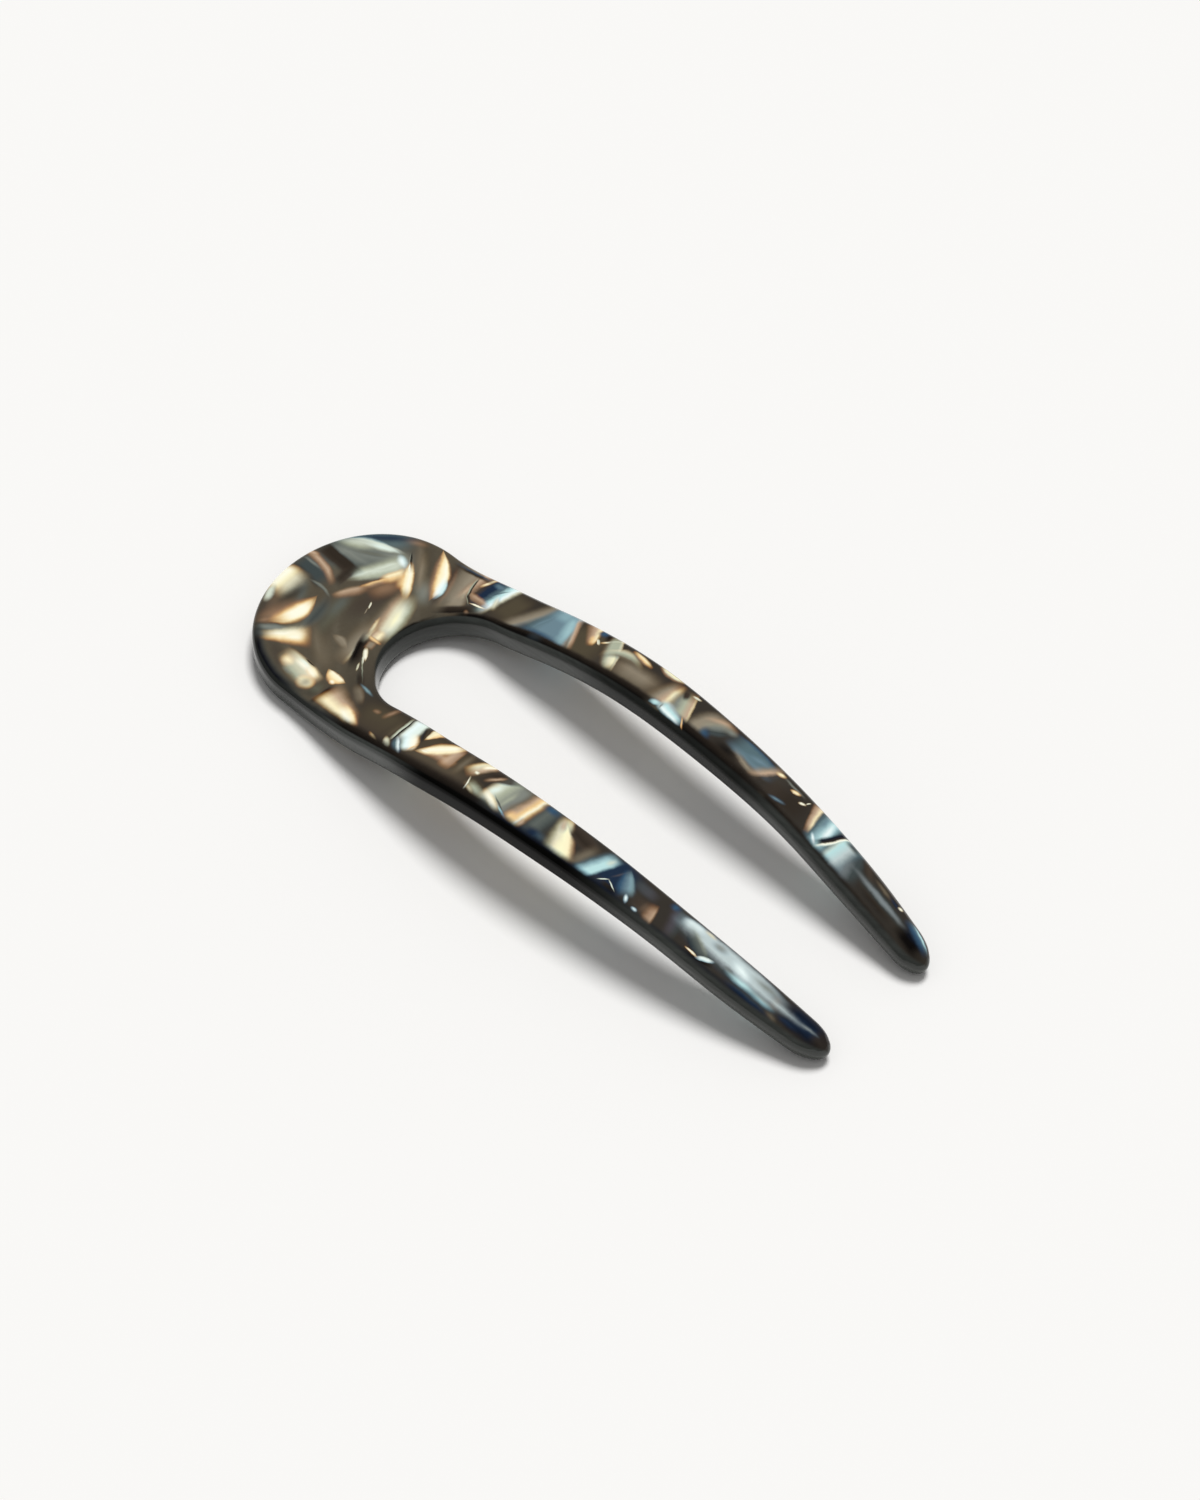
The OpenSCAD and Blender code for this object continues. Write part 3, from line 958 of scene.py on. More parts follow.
# The chart of the right prong
RIGHT_FOLDS: tuple[Fold, ...] = (
    # Quiet changes of the ground
    Fold(-25.0, -14.0, 10, 7, 0, "0 BROWN 0.6 OLIVE 1 OLIVE", soft=0.6, strength=0.9),
    Fold(-12.0, -14.0, 18, 7, 0, "0 TAN 0.4 OLIVE 1 OLIVE", soft=0.7, strength=0.8),
    # First wedge and chips
    Fold(-31.6, -11.8, 4.8, 2.2, -36, "0 BROWN 0.5 TAN 1 HAZE", lens=0.4, soft=0.7, strength=0.8),
    Fold(-31.2, -10.4, 4.0, 0.9, -14, "SLATE SKY TEAL", lens=0.5, soft=0.9, strength=0.7),
    Fold(
        -31.5, -14.9, 7.4, 4.0, -15, "0 IVORY 0.3 CREAM 0.6 PEACH 1 TAN",
        taper=-0.3, low=0.4, high=0.7, start=0.05, end=0.7,
    ),
    Fold(-27.9, -15.9, 4.0, 1.8, -46, "0 GOLD 0.4 COPPER 1 BROWN", lens=0.3, low=0.9, high=0.7, soft=0.7),
    Fold(
        -29.8, -15.7, 5.6, 2.5, -24, "0 CREAM 0.4 WHITE 0.8 CREAM 1 GOLD",
        lens=0.4, low=0.6, high=0.5, start=0.9, end=0.5, warm=1,
    ),
    Fold(-24.4, -11.9, 3.4, 1.6, 66, "OLIVE COPPER OLIVE", soft=0.9),
    Fold(-26.6, -12.7, 1.8, 1.4, 0, "OLIVE COPPER OLIVE", lens=0.4, soft=0.9, strength=0.8),
    Fold(-21.8, -14.0, 5.0, 2.0, -90, "BROWN OLIVE TAN", soft=0.9, strength=0.7),
    Fold(-22.9, -17.2, 3.2, 1.1, -28, "0 BROWN 0.3 COPPER 0.6 GOLD 1 SAGE", lens=0.5, soft=0.5),
    Fold(-20.6, -16.8, 2.8, 1.4, -50, "0 TAN 0.5 IVORY 1 SAGE", lens=0.4, taper=0.3, soft=0.5),
    Fold(-18.7, -16.5, 4.4, 2.0, -44, "0 NAVY 0.4 TEAL 0.65 FROST 0.8 BLUE 1 NAVY", lens=0.4, soft=0.6),
    Fold(
        -20.6, -13.5, 5.0, 1.0, -88, "0 OLIVE 0.3 SAGE 0.5 PALE 0.65 BLACK 1 UMBER",
        bend=0.1, soft=0.35,
    ),
    Fold(
        -18.7, -13.0, 4.8, 3.0, -86, "0 PALE 0.3 FROST 0.7 MINT 1 SAGE",
        low=0.2, high=0.5, start=0.05, end=0.5,
    ),
    Fold(
        -17.8, -14.8, 3.6, 3.0, -55, "0 ICE 0.4 FROST 0.75 WHITE 1 GOLD",
        lens=0.3, low=0.6, high=0.3, start=0.7, end=0.3,
    ),
    Fold(-16.6, -15.4, 2.0, 0.6, -108, "CREAM GOLD COPPER", lens=0.4, soft=0.8, warm=1),
    Fold(-17.0, -12.5, 3.6, 1.0, -62, "0 NAVY 0.5 UMBER 1 OLIVE", lens=0.3, soft=0.6, low=0.8),
    Fold(-15.8, -11.9, 2.8, 1.7, -108, "0 IVORY 0.5 CREAM 0.8 GOLD 1 COPPER", taper=-0.8, soft=0.35),
    # Diamond
    Fold(
        -12.2, -14.7, 5.8, 2.2, 2, "0 BROWN 0.4 COPPER 0.8 PEACH 1 PEACH",
        lens=0.2, low=0.8, high=0.8, start=0.9, end=0.15,
    ),
    Fold(
        -10.5, -13.7, 4.2, 2.4, -88, "0 PEACH 0.5 PEACH 1 COPPER",
        low=0.9, high=0.15, start=0.3, end=0.6,
    ),
    Fold(
        -12.5, -13.4, 7.2, 2.9, 38, "0 COPPER 0.15 PEACH 0.35 CREAM 0.6 WHITE 0.85 CREAM 1 GOLD",
        lens=0.75, bend=0.12, low=0.7, high=0.5, start=0.25, end=0.4, warm=1,
    ),
    Fold(-14.5, -14.9, 1.4, 0.6, 10, "IVORY WHITE IVORY", lens=0.5, soft=0.8),
    Fold(-8.1, -13.5, 5.6, 2.2, -90, "OLIVE TAN OLIVE", soft=0.9, strength=0.8),
    Fold(
        -5.6, -12.7, 4.8, 2.8, 52, "0 TAN 0.3 PEACH 0.6 IVORY 0.8 CREAM 1 OLIVE",
        low=0.5, high=0.7, start=0.9, end=0.1,
    ),
    Fold(-4.7, -11.9, 2.4, 1.2, 46, "PEACH WHITE CREAM", lens=0.3, soft=0.8, end=0.1),
    Fold(-5.4, -13.6, 1.0, 0.8, 0, "SAGE WHITE SAGE", soft=0.8),
    Fold(-3.6, -12.8, 4.4, 1.3, 46, "UMBER BROWN UMBER", soft=0.8, strength=0.9),
    Fold(-2.4, -12.8, 4.0, 1.4, 46, "BROWN PEACH BROWN", lens=0.3, soft=0.9, strength=0.9),
    Fold(-3.2, -15.9, 4.8, 2.6, -18, "0 IVORY 0.4 SAGE 0.8 OLIVE 1 OLIVE", soft=0.8),
    Fold(-4.0, -16.6, 2.6, 1.0, -20, "IVORY CREAM SAGE", lens=0.5, soft=0.9),
    Fold(-4.9, -16.4, 3.8, 0.4, -73, "0 UMBER 0.4 WHITE 0.8 SAGE", bend=-0.8, lens=0.2, soft=0.4),
    # Wide silver sheet
    Fold(
        0.8, -14.2, 6.8, 6.0, -96, "0 IVORY 0.2 PALE 0.4 SAGE 0.65 ASH 1 ASH",
        low=0.25, high=0.4, start=0.15, end=0.3,
    ),
    Fold(-1.1, -14.3, 3.2, 2.0, 62, "PALE MINT IVORY", lens=0.4, soft=0.9),
    Fold(1.6, -14.6, 5.4, 1.6, -96, "ASH SAGE ASH", lens=0.2, soft=0.9, strength=0.7),
    Fold(-1.6, -12.0, 6.4, 2.4, 28, "0 BROWN 0.6 UMBER 1 BROWN", low=0.3, soft=0.6, strength=0.95),
    Fold(-2.3, -12.8, 3.4, 1.0, 44, "BROWN PEACH BROWN", lens=0.3, soft=0.9, strength=0.9),
    Fold(-0.2, -16.2, 5.0, 1.6, -26, "0 IVORY 0.5 WHITE 1 CREAM", lens=0.5, soft=0.7),
    Fold(1.3, -16.0, 4.4, 0.35, -28, "OLIVE UMBER", lens=0.5, soft=0.6, strength=0.7),
    Fold(2.6, -16.8, 3.6, 0.5, -22, "SAGE ICE TEAL", lens=0.4, soft=0.6),
    Fold(3.2, -15.4, 4.6, 3.4, -100, "0 ASH 0.4 TAN 0.7 PEACH 1 COPPER", lens=0.2, soft=1),
    Fold(
        4.5, -14.2, 7.6, 4.4, -97,
        "0 ASH 0.2 TAN 0.4 PEACH 0.56 GOLD "
        "0.66 CREAM 0.71 WHITE 0.77 CREAM 0.86 GOLD 1 COPPER",
        low=1, high=0.7, start=0.03, end=0.15, warm=1,
    ),
    Fold(4.0, -16.4, 2.6, 3.2, -90, "0 COPPER 0.4 GOLD 0.7 GOLD 1 COPPER", lens=0.3, soft=0.9, warm=1),
    Fold(5.7, -16.2, 2.4, 1.4, -90, "COPPER PEACH BROWN", lens=0.3, soft=0.9),
    Fold(
        7.8, -13.9, 7.4, 4.4, -92, "0 SLATE 0.4 GREY 0.8 SLATE 1 GREY",
        low=0.6, high=0.9, start=0.03, end=0.2,
    ),
    Fold(7.4, -11.7, 2.0, 4.2, -90, "NAVY BLUE NAVY", soft=0.9),
    Fold(8.2, -16.4, 2.6, 5.4, -90, "INK NAVY TEAL", soft=0.9, start=0.9),
    Fold(
        11.4, -14.4, 7.2, 4.4, -62, "0 TEAL 0.2 SAGE 0.4 IVORY 0.65 BUTTER 0.85 CREAM 1 PEACH",
        taper=0.4, low=0.9, high=0.35, start=0.3, end=0.15,
    ),
    Fold(12.9, -15.6, 3.8, 2.6, -30, "BUTTER BUTTER CREAM", lens=0.4, soft=0.9),
    Fold(10.4, -12.6, 3.0, 1.6, -60, "HAZE PEACH HAZE", lens=0.4, soft=0.9, strength=0.8),
    Fold(14.0, -12.3, 6.8, 2.8, -10, "0 BROWN 0.4 UMBER 1 BROWN", lens=0.7, low=0.3, soft=0.5),
    Fold(15.9, -14.4, 6.0, 3.0, -104, "0 BROWN 0.5 TAN 1 SLATE", soft=0.8, start=0.8, strength=0.9),
    # Blue part
    Fold(21.4, -13.8, 7.4, 7.0, -113, "0 SLATE 0.3 NAVY 0.6 NAVY 1 INK", soft=0.6, start=0.3),
    Fold(
        17.9, -14.3, 6.6, 3.2, -113, "0 GREY 0.2 TEAL 0.4 SKY 0.6 ICE 0.9 ICE 1 SKY",
        low=0.8, high=0.3, start=0.25, end=0.2,
    ),
    Fold(19.4, -12.4, 2.2, 1.6, -113, "SKY PALE SKY", lens=0.3, soft=0.9, strength=0.8),
    Fold(21.6, -12.9, 3.6, 0.8, -118, "NAVY DUSK NAVY", lens=0.3, soft=0.9),
    Fold(25.6, -12.2, 2.2, 5.4, -90, "SLATE DUSK", soft=0.8),
    Fold(
        23.0, -13.4, 4.6, 3.0, -56, "0 NAVY 0.3 BLUE 0.6 STEEL 0.85 SKY 1 BLUE",
        lens=0.2, taper=0.45, soft=0.6, warm=0,
    ),
    Fold(24.7, -15.2, 1.8, 0.9, -52, "SKY FROST SKY", lens=0.6, soft=0.9),
    Fold(21.8, -15.7, 1.4, 3.6, -90, "UMBER BLACK", soft=0.7),
    Fold(20.4, -15.2, 2.0, 0.32, 46, "SAGE MINT SAGE", lens=0.5, soft=0.7),
    Fold(21.9, -15.1, 2.4, 0.3, -26, "SAGE MINT SAGE", lens=0.5, soft=0.7),
    Fold(26.6, -15.6, 1.2, 0.8, 0, "SKY FROST SKY", lens=0.5, soft=0.9),
    Fold(26.8, -14.3, 2.6, 4.4, -90, "UMBER BROWN COPPER", soft=0.9),
    Fold(
        28.5, -14.7, 3.8, 2.2, -78, "0 BROWN 0.4 COPPER 0.8 PEACH 1 UMBER",
        taper=0.2, low=0.9, high=0.5, soft=0.7, strength=0.9,
    ),
    Fold(31.6, -13.0, 6.8, 3.2, -66, "0 UMBER 0.5 DUSK 0.8 SLATE 1 UMBER", bend=-0.3, soft=0.8),
    Fold(30.3, -11.1, 1.6, 2.2, -90, "NAVY BLUE NAVY", soft=0.9),
    # Long silver sheet
    Fold(
        41.2, -11.7, 18.0, 4.6, 4, "0 NAVY 0.2 SLATE 0.35 MIST 0.5 FOG 0.8 FOG 1 MIST",
        lens=0.25, low=0.6, high=0.1, start=0.25, end=0.45,
    ),
    Fold(34.2, -11.4, 4.2, 2.6, 8, "0 GREY 0.4 FOG 0.8 FROST 1 MINT", lens=0.4, soft=0.8, start=0.4),
    Fold(38.4, -10.9, 3.4, 1.8, 10, "TAN ASH HAZE", lens=0.3, soft=0.9, strength=0.8),
    Fold(36.2, -10.5, 2.4, 1.0, 4, "SAGE IVORY IVORY", soft=0.9, strength=0.8),
    Fold(42.6, -11.2, 4.4, 2.4, -8, "FOG FROST FOG", lens=0.3, soft=0.9),
    Fold(43.8, -12.5, 6.4, 1.8, 6, "SKY ICE FOG", lens=0.4, soft=1),
    Fold(41.5, -12.4, 2.6, 0.9, 0, "ASH SLATE", lens=0.5, soft=0.9, strength=0.6),
    Fold(36.0, -13.0, 5.4, 2.4, -24, "0 INK 0.3 SLATE 0.6 GREY 1 SAGE", lens=0.4, low=0.3, soft=0.7),
    Fold(46.4, -10.4, 6.4, 1.8, 4, "0 FOG 0.5 ASH 1 BROWN", lens=0.3, soft=1, strength=0.8),
    Fold(48.6, -11.0, 2.6, 2.6, -80, "TAN HAZE TAN", lens=0.3, soft=1, strength=0.7),
    Fold(47.2, -12.4, 5.4, 1.6, 6, "TEAL SKY PALE", lens=0.4, soft=1),
    Fold(45.6, -13.6, 9.0, 1.3, 6, "INK NAVY SLATE", lens=0.4, soft=0.7),
    Fold(49.6, -12.9, 2.6, 1.4, 0, "BROWN TAN SLATE", lens=0.4, soft=1, strength=0.6),
    Fold(37.6, -14.4, 5.2, 0.9, 14, "BLACK UMBER", lens=0.4, soft=0.6),
    Fold(36.2, -14.4, 2.2, 0.45, 4, "GOLD WHITE IVORY", lens=0.5, soft=0.6),
    Fold(38.2, -13.8, 2.8, 0.9, 30, "SKY FROST PALE", lens=0.6, soft=0.6, low=0.3),
    # Right tip
    Fold(53.4, -10.5, 7.6, 5.0, 6, "0 BLACK 0.3 INK 0.5 NAVY 0.7 INK 1 NAVY", soft=0.6, start=0.5),
    Fold(51.6, -11.9, 4.4, 1.6, 8, "INK NAVY INK", soft=0.9, lens=0.3, warm=0, strength=0.8),
    Fold(56.2, -10.4, 3.0, 4.0, -10, "BLACK UMBER BLACK", soft=0.8, strength=0.8),
    # The next two folds are a grey streak along the crown of the tip: a painted highlight
    Fold(
        49.2, -11.0, 11.4, 2.4, 6, "SLATE MIST FOG MIST SLATE",
        lens=0.3, taper=-0.4, soft=1, strength=0.7, warm=0,
    ),
    Fold(54.0, -10.3, 4.4, 1.0, 8, "SLATE MIST SLATE", lens=0.5, soft=1),
    # Outer rim of the prong and of the head beside it, black as painted dark reflection
    Fold(
        -22.0, -18.1, 22, 3.6, -3, "BLACK BLACK UMBER",
        bend=-0.15, low=0.05, high=0.5, start=0.3, end=0.3, warm=0.2,
    ),
    Fold(-8.0, -18.3, 20, 4.4, 2, "BLACK BLACK UMBER", bend=-0.1, low=0.05, high=0.5, soft=0.2, warm=0.2),
    Fold(12.0, -18.0, 26, 3.8, 3, "BLACK BLACK INK", bend=0.1, low=0.05, high=0.45, soft=0.1, warm=0.5),
    Fold(36.0, -16.0, 28, 3.0, 6, "BLACK BLACK INK", low=0.05, high=0.6, soft=0.15, warm=0.3),
    Fold(
        -46.4, -16.6, 16, 3.4, -19, "BLACK BLACK INK",
        bend=1.4, low=0.05, high=0.75, start=0.5, end=0.5, warm=0.6,
    ),
    Fold(-36.5, -18.4, 14, 3.4, -2, "BLACK BLACK INK", low=0.05, high=0.7, start=0.4, end=0.4, warm=0.6),
)

# The chart of the left prong
LEFT_FOLDS: tuple[Fold, ...] = (
    # Quiet changes of the ground
    Fold(-26.6, 14.5, 7, 5, -100, "OLIVE OLIVE", soft=0.6),
    Fold(-12.4, 14.5, 9, 8, 0, "OLIVE OLIVE OLIVE", soft=0.6),
    Fold(-1.8, 14.05, 10, 5.6, 0, "0 UMBER 0.3 TAN 0.6 HAZE 1 OLIVE", soft=0.7, low=0.8, strength=0.85),
    # Steel blue sheet
    Fold(
        -22.8, 14.9, 8.4, 3.8, -122, "0 OLIVE 0.3 TAN 0.6 HAZE 1 STEEL",
        soft=0.7, low=0.9, start=0.05, end=0.1,
    ),
    Fold(
        -18.6, 14.7, 7.8, 8.2, -92, "0 HAZE 0.15 TEAL 0.4 STEEL 0.7 STEEL 0.9 SKY 1 PEACH",
        taper=0.3, low=0.5, high=0.2, start=0.02, end=0.2,
    ),
    Fold(-18.6, 17.3, 3.2, 6.0, -90, "STEEL SKY SKY", soft=0.9, strength=0.7),
    Fold(-16.4, 15.1, 5.0, 2.6, -68, "STEEL SKY ICE", lens=0.3, soft=0.9, start=0.1),
    Fold(-20.4, 14.9, 5.4, 1.2, -110, "TEAL STEEL TEAL", lens=0.4, soft=0.9, strength=0.7),
    Fold(-19.0, 12.4, 1.8, 11, -90, "NAVY BLUE BLUE", soft=0.9, strength=0.8),
    Fold(
        -14.5, 14.9, 6.8, 1.3, -62, "0 SKY 0.4 PEACH 0.7 COPPER 1 OLIVE",
        bend=-0.1, soft=0.7, start=0.05,
    ),
    # Cream chip and flecks
    Fold(
        -12.4, 16.7, 4.4, 2.6, -62, "0 OLIVE 0.3 COPPER 0.55 PEACH 0.8 CREAM 1 HAZE",
        taper=-0.4, soft=0.5, start=0.05,
    ),
    Fold(-11.8, 15.8, 2.2, 1.5, -58, "COPPER GOLD CREAM", lens=0.5, soft=0.8),
    Fold(-11.2, 17.8, 1.8, 2.4, -90, "NAVY BLUE NAVY", soft=0.8, start=0.05),
    Fold(-9.3, 17.6, 2.6, 2.0, 38, "UMBER BLACK", lens=0.3, soft=0.5),
    Fold(-10.7, 16, 1.5, 0.6, -35, "WHITE SAGE", lens=0.5, soft=0.5),
    Fold(-8.9, 17.2, 3.6, 0.6, 40, "0 COPPER 0.4 CREAM 0.8 WHITE", lens=0.4, soft=0.5),
    # Green cream fork
    Fold(
        -7.7, 15.4, 7.4, 3.2, -62, "0 OLIVE 0.15 TAN 0.4 SAGE 0.75 SAGE 0.92 IVORY 1 OLIVE",
        bend=0.15, lens=0.4, low=0.6, high=0.25, start=0.4, end=0.4,
    ),
    Fold(-6.8, 14.2, 3.6, 1.6, -62, "SAGE IVORY BUTTER", lens=0.5, soft=0.8, high=0.25),
    Fold(
        -5.6, 16.3, 7.4, 2.6, 10, "0 OLIVE 0.3 TAN 0.55 SAGE 0.8 IVORY 1 OLIVE",
        bend=-1.2, lens=0.2, soft=0.8,
    ),
    Fold(
        -3.1, 17.15, 4.4, 1.3, -12, "0 BROWN 0.3 COPPER 0.5 GOLD 0.75 CREAM 1 IVORY",
        lens=0.4, soft=0.6,
    ),
    Fold(
        2.1, 17.45, 4.6, 1.5, -3, "0 BROWN 0.3 COPPER 0.5 IVORY 0.8 BUTTER 1 SAGE",
        bend=0.5, lens=0.4, soft=0.5,
    ),
    # Cream and cyan chip
    Fold(
        4.1, 13.9, 6.8, 5.4, -97, "0 OLIVE 0.15 TAN 0.35 HAZE 0.55 PEACH 0.7 CREAM 1 HAZE",
        taper=0.35, lens=0.1, low=0.8, high=0.9, start=0.5, end=0.2,
    ),
    Fold(4.9, 15.0, 3.6, 2.0, -92, "HAZE CREAM PEACH", lens=0.5, soft=1),
    Fold(
        7.1, 13.75, 6.6, 4.4, -72, "0 HAZE 0.35 ASH 0.6 SAGE 0.85 PEACH 0.94 CREAM 1 BROWN",
        taper=0.15, low=0.7, high=0.2, start=0.5, end=0.12,
    ),
    Fold(6.3, 16.35, 2.2, 1.4, -60, "UMBER BROWN", lens=0.5, soft=0.7),
    Fold(7.8, 16.85, 1.6, 0.5, 8, "SAGE WHITE", lens=0.4, soft=0.6),
    # Tan arc and blue sheet
    Fold(
        11.4, 14.1, 7.0, 5.0, -110, "0 UMBER 0.2 TAN 0.4 HAZE 0.6 HAZE 0.85 SLATE 1 TEAL",
        bend=0.4, lens=0.2, low=0.7, high=0.8, start=0.4, end=0.5,
    ),
    Fold(13.5, 15.9, 6.0, 2.6, 14, "0 ASH 0.4 HAZE 0.65 PEACH 1 TAN", bend=-0.4, lens=0.3, soft=1),
    Fold(15.4, 15.7, 3.0, 1.8, 10, "SLATE ASH HAZE", lens=0.5, soft=1),
    Fold(13.6, 14.6, 5.6, 2.8, 34, "TEAL SLATE ASH SAGE", lens=0.3, soft=0.9),
    Fold(12.9, 12.7, 3.8, 2.4, -58, "TEAL BLUE NAVY", lens=0.3, soft=0.9),
    Fold(17.0, 12.7, 3.0, 7.0, -90, "UMBER BLACK UMBER", soft=0.8, start=0.8, strength=0.8),
    Fold(
        20.4, 14.7, 9.2, 3.4, -5, "0 HAZE 0.15 STEEL 0.5 TEAL 0.8 TEAL 1 BLUE",
        lens=0.2, low=0.5, high=0.1, start=0.6, end=0.5,
    ),
    Fold(21.6, 14.9, 5.6, 2.2, 8, "TEAL STEEL TEAL", lens=0.5, soft=1),
    Fold(20.4, 12.9, 6.4, 2.2, -12, "0 UMBER 0.3 BROWN 0.6 HAZE 0.8 TAN 1 STEEL", bend=0.4, soft=0.9),
    Fold(
        23.6, 14.2, 5.8, 3.2, 50, "0 UMBER 0.3 BROWN 0.5 PEACH 0.75 HAZE 1 STEEL",
        bend=0.2, low=1, high=1, soft=0.8,
    ),
    Fold(25.2, 15.5, 1.8, 1.0, 15, "PEACH CREAM HAZE", lens=0.4, soft=0.8),
    Fold(21.8, 11, 2.8, 0.8, -3, "UMBER COPPER UMBER", lens=0.4, soft=0.8),
    # Dark part
    Fold(28.4, 12.9, 4.4, 8.6, -86, "BROWN UMBER UMBER", soft=0.6, strength=0.8),
    Fold(27.8, 15.3, 5.0, 0.7, -6, "UMBER ASH GREY", soft=0.8, strength=0.8),
    Fold(27.4, 12.0, 3.4, 1.0, 12, "NAVY STEEL NAVY", lens=0.5, soft=1),
    Fold(25.4, 11.1, 2.4, 1.0, 0, "UMBER TAN UMBER", lens=0.5, soft=0.9, strength=0.7),
    Fold(28.5, 14.8, 1.8, 0.8, 12, "COPPER CREAM GOLD", lens=0.5, soft=0.7),
    Fold(30.3, 14.2, 1.3, 0.6, 24, "HAZE WHITE SAGE", lens=0.5, soft=0.7),
    Fold(30.9, 14.9, 0.9, 0.3, 60, "SAGE WHITE", lens=0.5, soft=0.6),
    # Cream bar and cyan sheet
    Fold(
        35.3, 12.9, 6.4, 4.6, -84, "0 TEAL 0.2 TEAL 0.4 SKY 0.55 ICE 0.7 SKY 0.85 TEAL 1 SLATE",
        low=0.5, high=0.3, start=0.05, end=0.3,
    ),
    Fold(35.7, 13.7, 4.4, 2.0, -80, "SKY FROST ICE", lens=0.4, soft=0.9),
    Fold(34.4, 14.5, 2.6, 1.4, -86, "TEAL STEEL SKY", soft=0.9, strength=0.8),
    Fold(
        32.8, 13.7, 4.8, 1.7, -72, "0 UMBER 0.2 COPPER 0.45 PEACH 0.75 CREAM 1 SKY",
        taper=-0.3, low=0.6, high=0.7, start=0.05, end=0.5,
    ),
    Fold(35.0, 11.3, 2.4, 0.8, -40, "SKY FROST SKY", lens=0.5, soft=0.8),
    Fold(
        39.6, 12.7, 5.6, 4.8, -94, "0 PALE 0.2 ICE 0.45 FOG 0.75 TEAL 1 UMBER",
        low=0.2, high=0.9, start=0.3, end=0.3,
    ),
    Fold(39.8, 14.9, 2.0, 4.4, -90, "NAVY SLATE TEAL", soft=0.8, high=0.9),
    Fold(
        36.9, 13.3, 5.6, 1.5, -116, "0 SLATE 0.3 INK 0.6 UMBER 0.75 WHITE 0.88 MINT 1 SAGE",
        bend=-0.3, soft=0.3, low=0.6,
    ),
    Fold(42.2, 12.7, 5.6, 2.2, -76, "TEAL SLATE UMBER", soft=0.9, strength=0.8),
    # Left tip
    Fold(
        41.6, 11.7, 5.6, 4.4, -72, "0 FOG 0.3 MIST 0.6 SLATE 1 SLATE",
        low=0.9, high=1, soft=0.8, strength=0.9,
    ),
    Fold(
        43.4, 13.5, 6.0, 1.7, -40, "0 UMBER 0.5 BROWN 1 BROWN",
        bend=0.3, lens=0.3, soft=0.8, strength=0.9,
    ),
    Fold(46.6, 13.2, 4.4, 1.2, -10, "UMBER TAN UMBER", lens=0.4, soft=0.9, strength=0.7),
    Fold(47.4, 10.8, 9.4, 2.4, -8, "0 BLACK 0.5 UMBER 1 UMBER", soft=0.9, strength=0.9),
    Fold(49.0, 12.9, 3.4, 1.1, -12, "INK NAVY INK", lens=0.4, soft=0.9, strength=0.8),
    # The next two folds are a grey streak along the crown of the tip: a painted highlight
    Fold(47.6, 11.75, 16, 2.4, -7, "UMBER SLATE MIST SLATE UMBER", lens=0.25, taper=-0.15, soft=1),
    Fold(46.8, 11.85, 12, 1.2, -7, "MIST MIST MIST", lens=0.3, soft=1, strength=0.75, warm=0),
    Fold(49.9, 13.0, 1.0, 0.8, 0, "SAGE WHITE SAGE", lens=0.4, soft=0.8),
    Fold(54.0, 10.3, 6.6, 3.6, -10, "0 BLACK 0.5 BLACK 0.8 INK 1 NAVY", soft=0.7),
    Fold(54.2, 11.6, 6.0, 1.8, -20, "0 INK 0.5 BLUE 0.8 STEEL 1 TEAL", bend=-0.3, lens=0.3, soft=0.7),
    Fold(54.6, 12.0, 4.8, 0.6, -22, "STEEL ICE SKY", bend=-0.5, lens=0.5, soft=0.8),
    # Inner rim of the prong and of the bend, black as painted dark reflection
    Fold(-24.0, 11.0, 10, 2.0, 6, "BLACK BLACK UMBER", bend=0.1, low=0.05, high=0.5, soft=0.15, warm=0.2),
    Fold(-8.0, 11.5, 28, 2.7, 1, "BLACK BLACK UMBER", bend=-0.1, low=0.05, high=0.4, soft=0.1, warm=0.2),
    Fold(14.0, 11.3, 22, 3.4, -3, "BLACK BLACK UMBER", bend=-0.1, low=0.05, high=0.4, soft=0.1, warm=0.2),
    Fold(38.0, 9.6, 32, 2.4, -6, "BLACK BLACK UMBER", low=0.05, high=0.6, soft=0.15, warm=0.2),
    # Cyan foot of the chip
    Fold(
        7.1, 12.5, 5.0, 2.3, -14, "0 SKY 0.25 FROST 0.5 ICE 0.8 FOG 1 SAGE",
        lens=0.2, taper=-0.35, low=0.35, high=1, start=0.25, end=0.6,
    ),
    Fold(3.9, 12.45, 2.4, 1.3, 14, "0 SKY 0.4 ICE 1 FOG", lens=0.5, soft=0.9, low=0.4),
    Fold(5.0, 12.4, 1.6, 0.5, -80, "TEAL SLATE TEAL", lens=0.3, soft=1, strength=0.7),
    Fold(9.3, 12.1, 2.8, 0.4, -50, "COPPER GOLD COPPER", lens=0.4, soft=0.8),
)

FOLDS = HEAD_FOLDS + RIGHT_FOLDS + LEFT_FOLDS


class NoiseSlice(IntEnum):
    """Heights at which the noises are cut, so that no two of them are alike."""

    WARP_X = 0
    GRAIN = 3
    WARP_Y = 7
    CLOUDS = 9


@dataclass(frozen=True)
class PaintedShadeStretch:
    """A stretch of the cut edge that looks black.

    It sets in between the two places of starts and fades between those of ends, which lie along the pin,
    and it lies beyond the places of beyond, which lie across the pin. Lengths are in millimetres. share
    is how much of the edge's brightness it takes. Its black is painted shade.
    """

    starts: Step
    ends: Step
    beyond: Step
    share: float = 1.0

    def taken(self, bench: NodeBench, x: Value, y: Value) -> Value:
        """How much brightness the stretch takes at a place.

        Args:
            bench: the bench of the finish.
            x: place along the pin, in millimetres.
            y: place across the pin.

        Returns:
            From 0 to the stretch's share.
        """
        along = bench.smooth(*self.starts, x) * bench.smooth(*self.ends, x)
        return along * bench.smooth(*self.beyond, y) * self.share


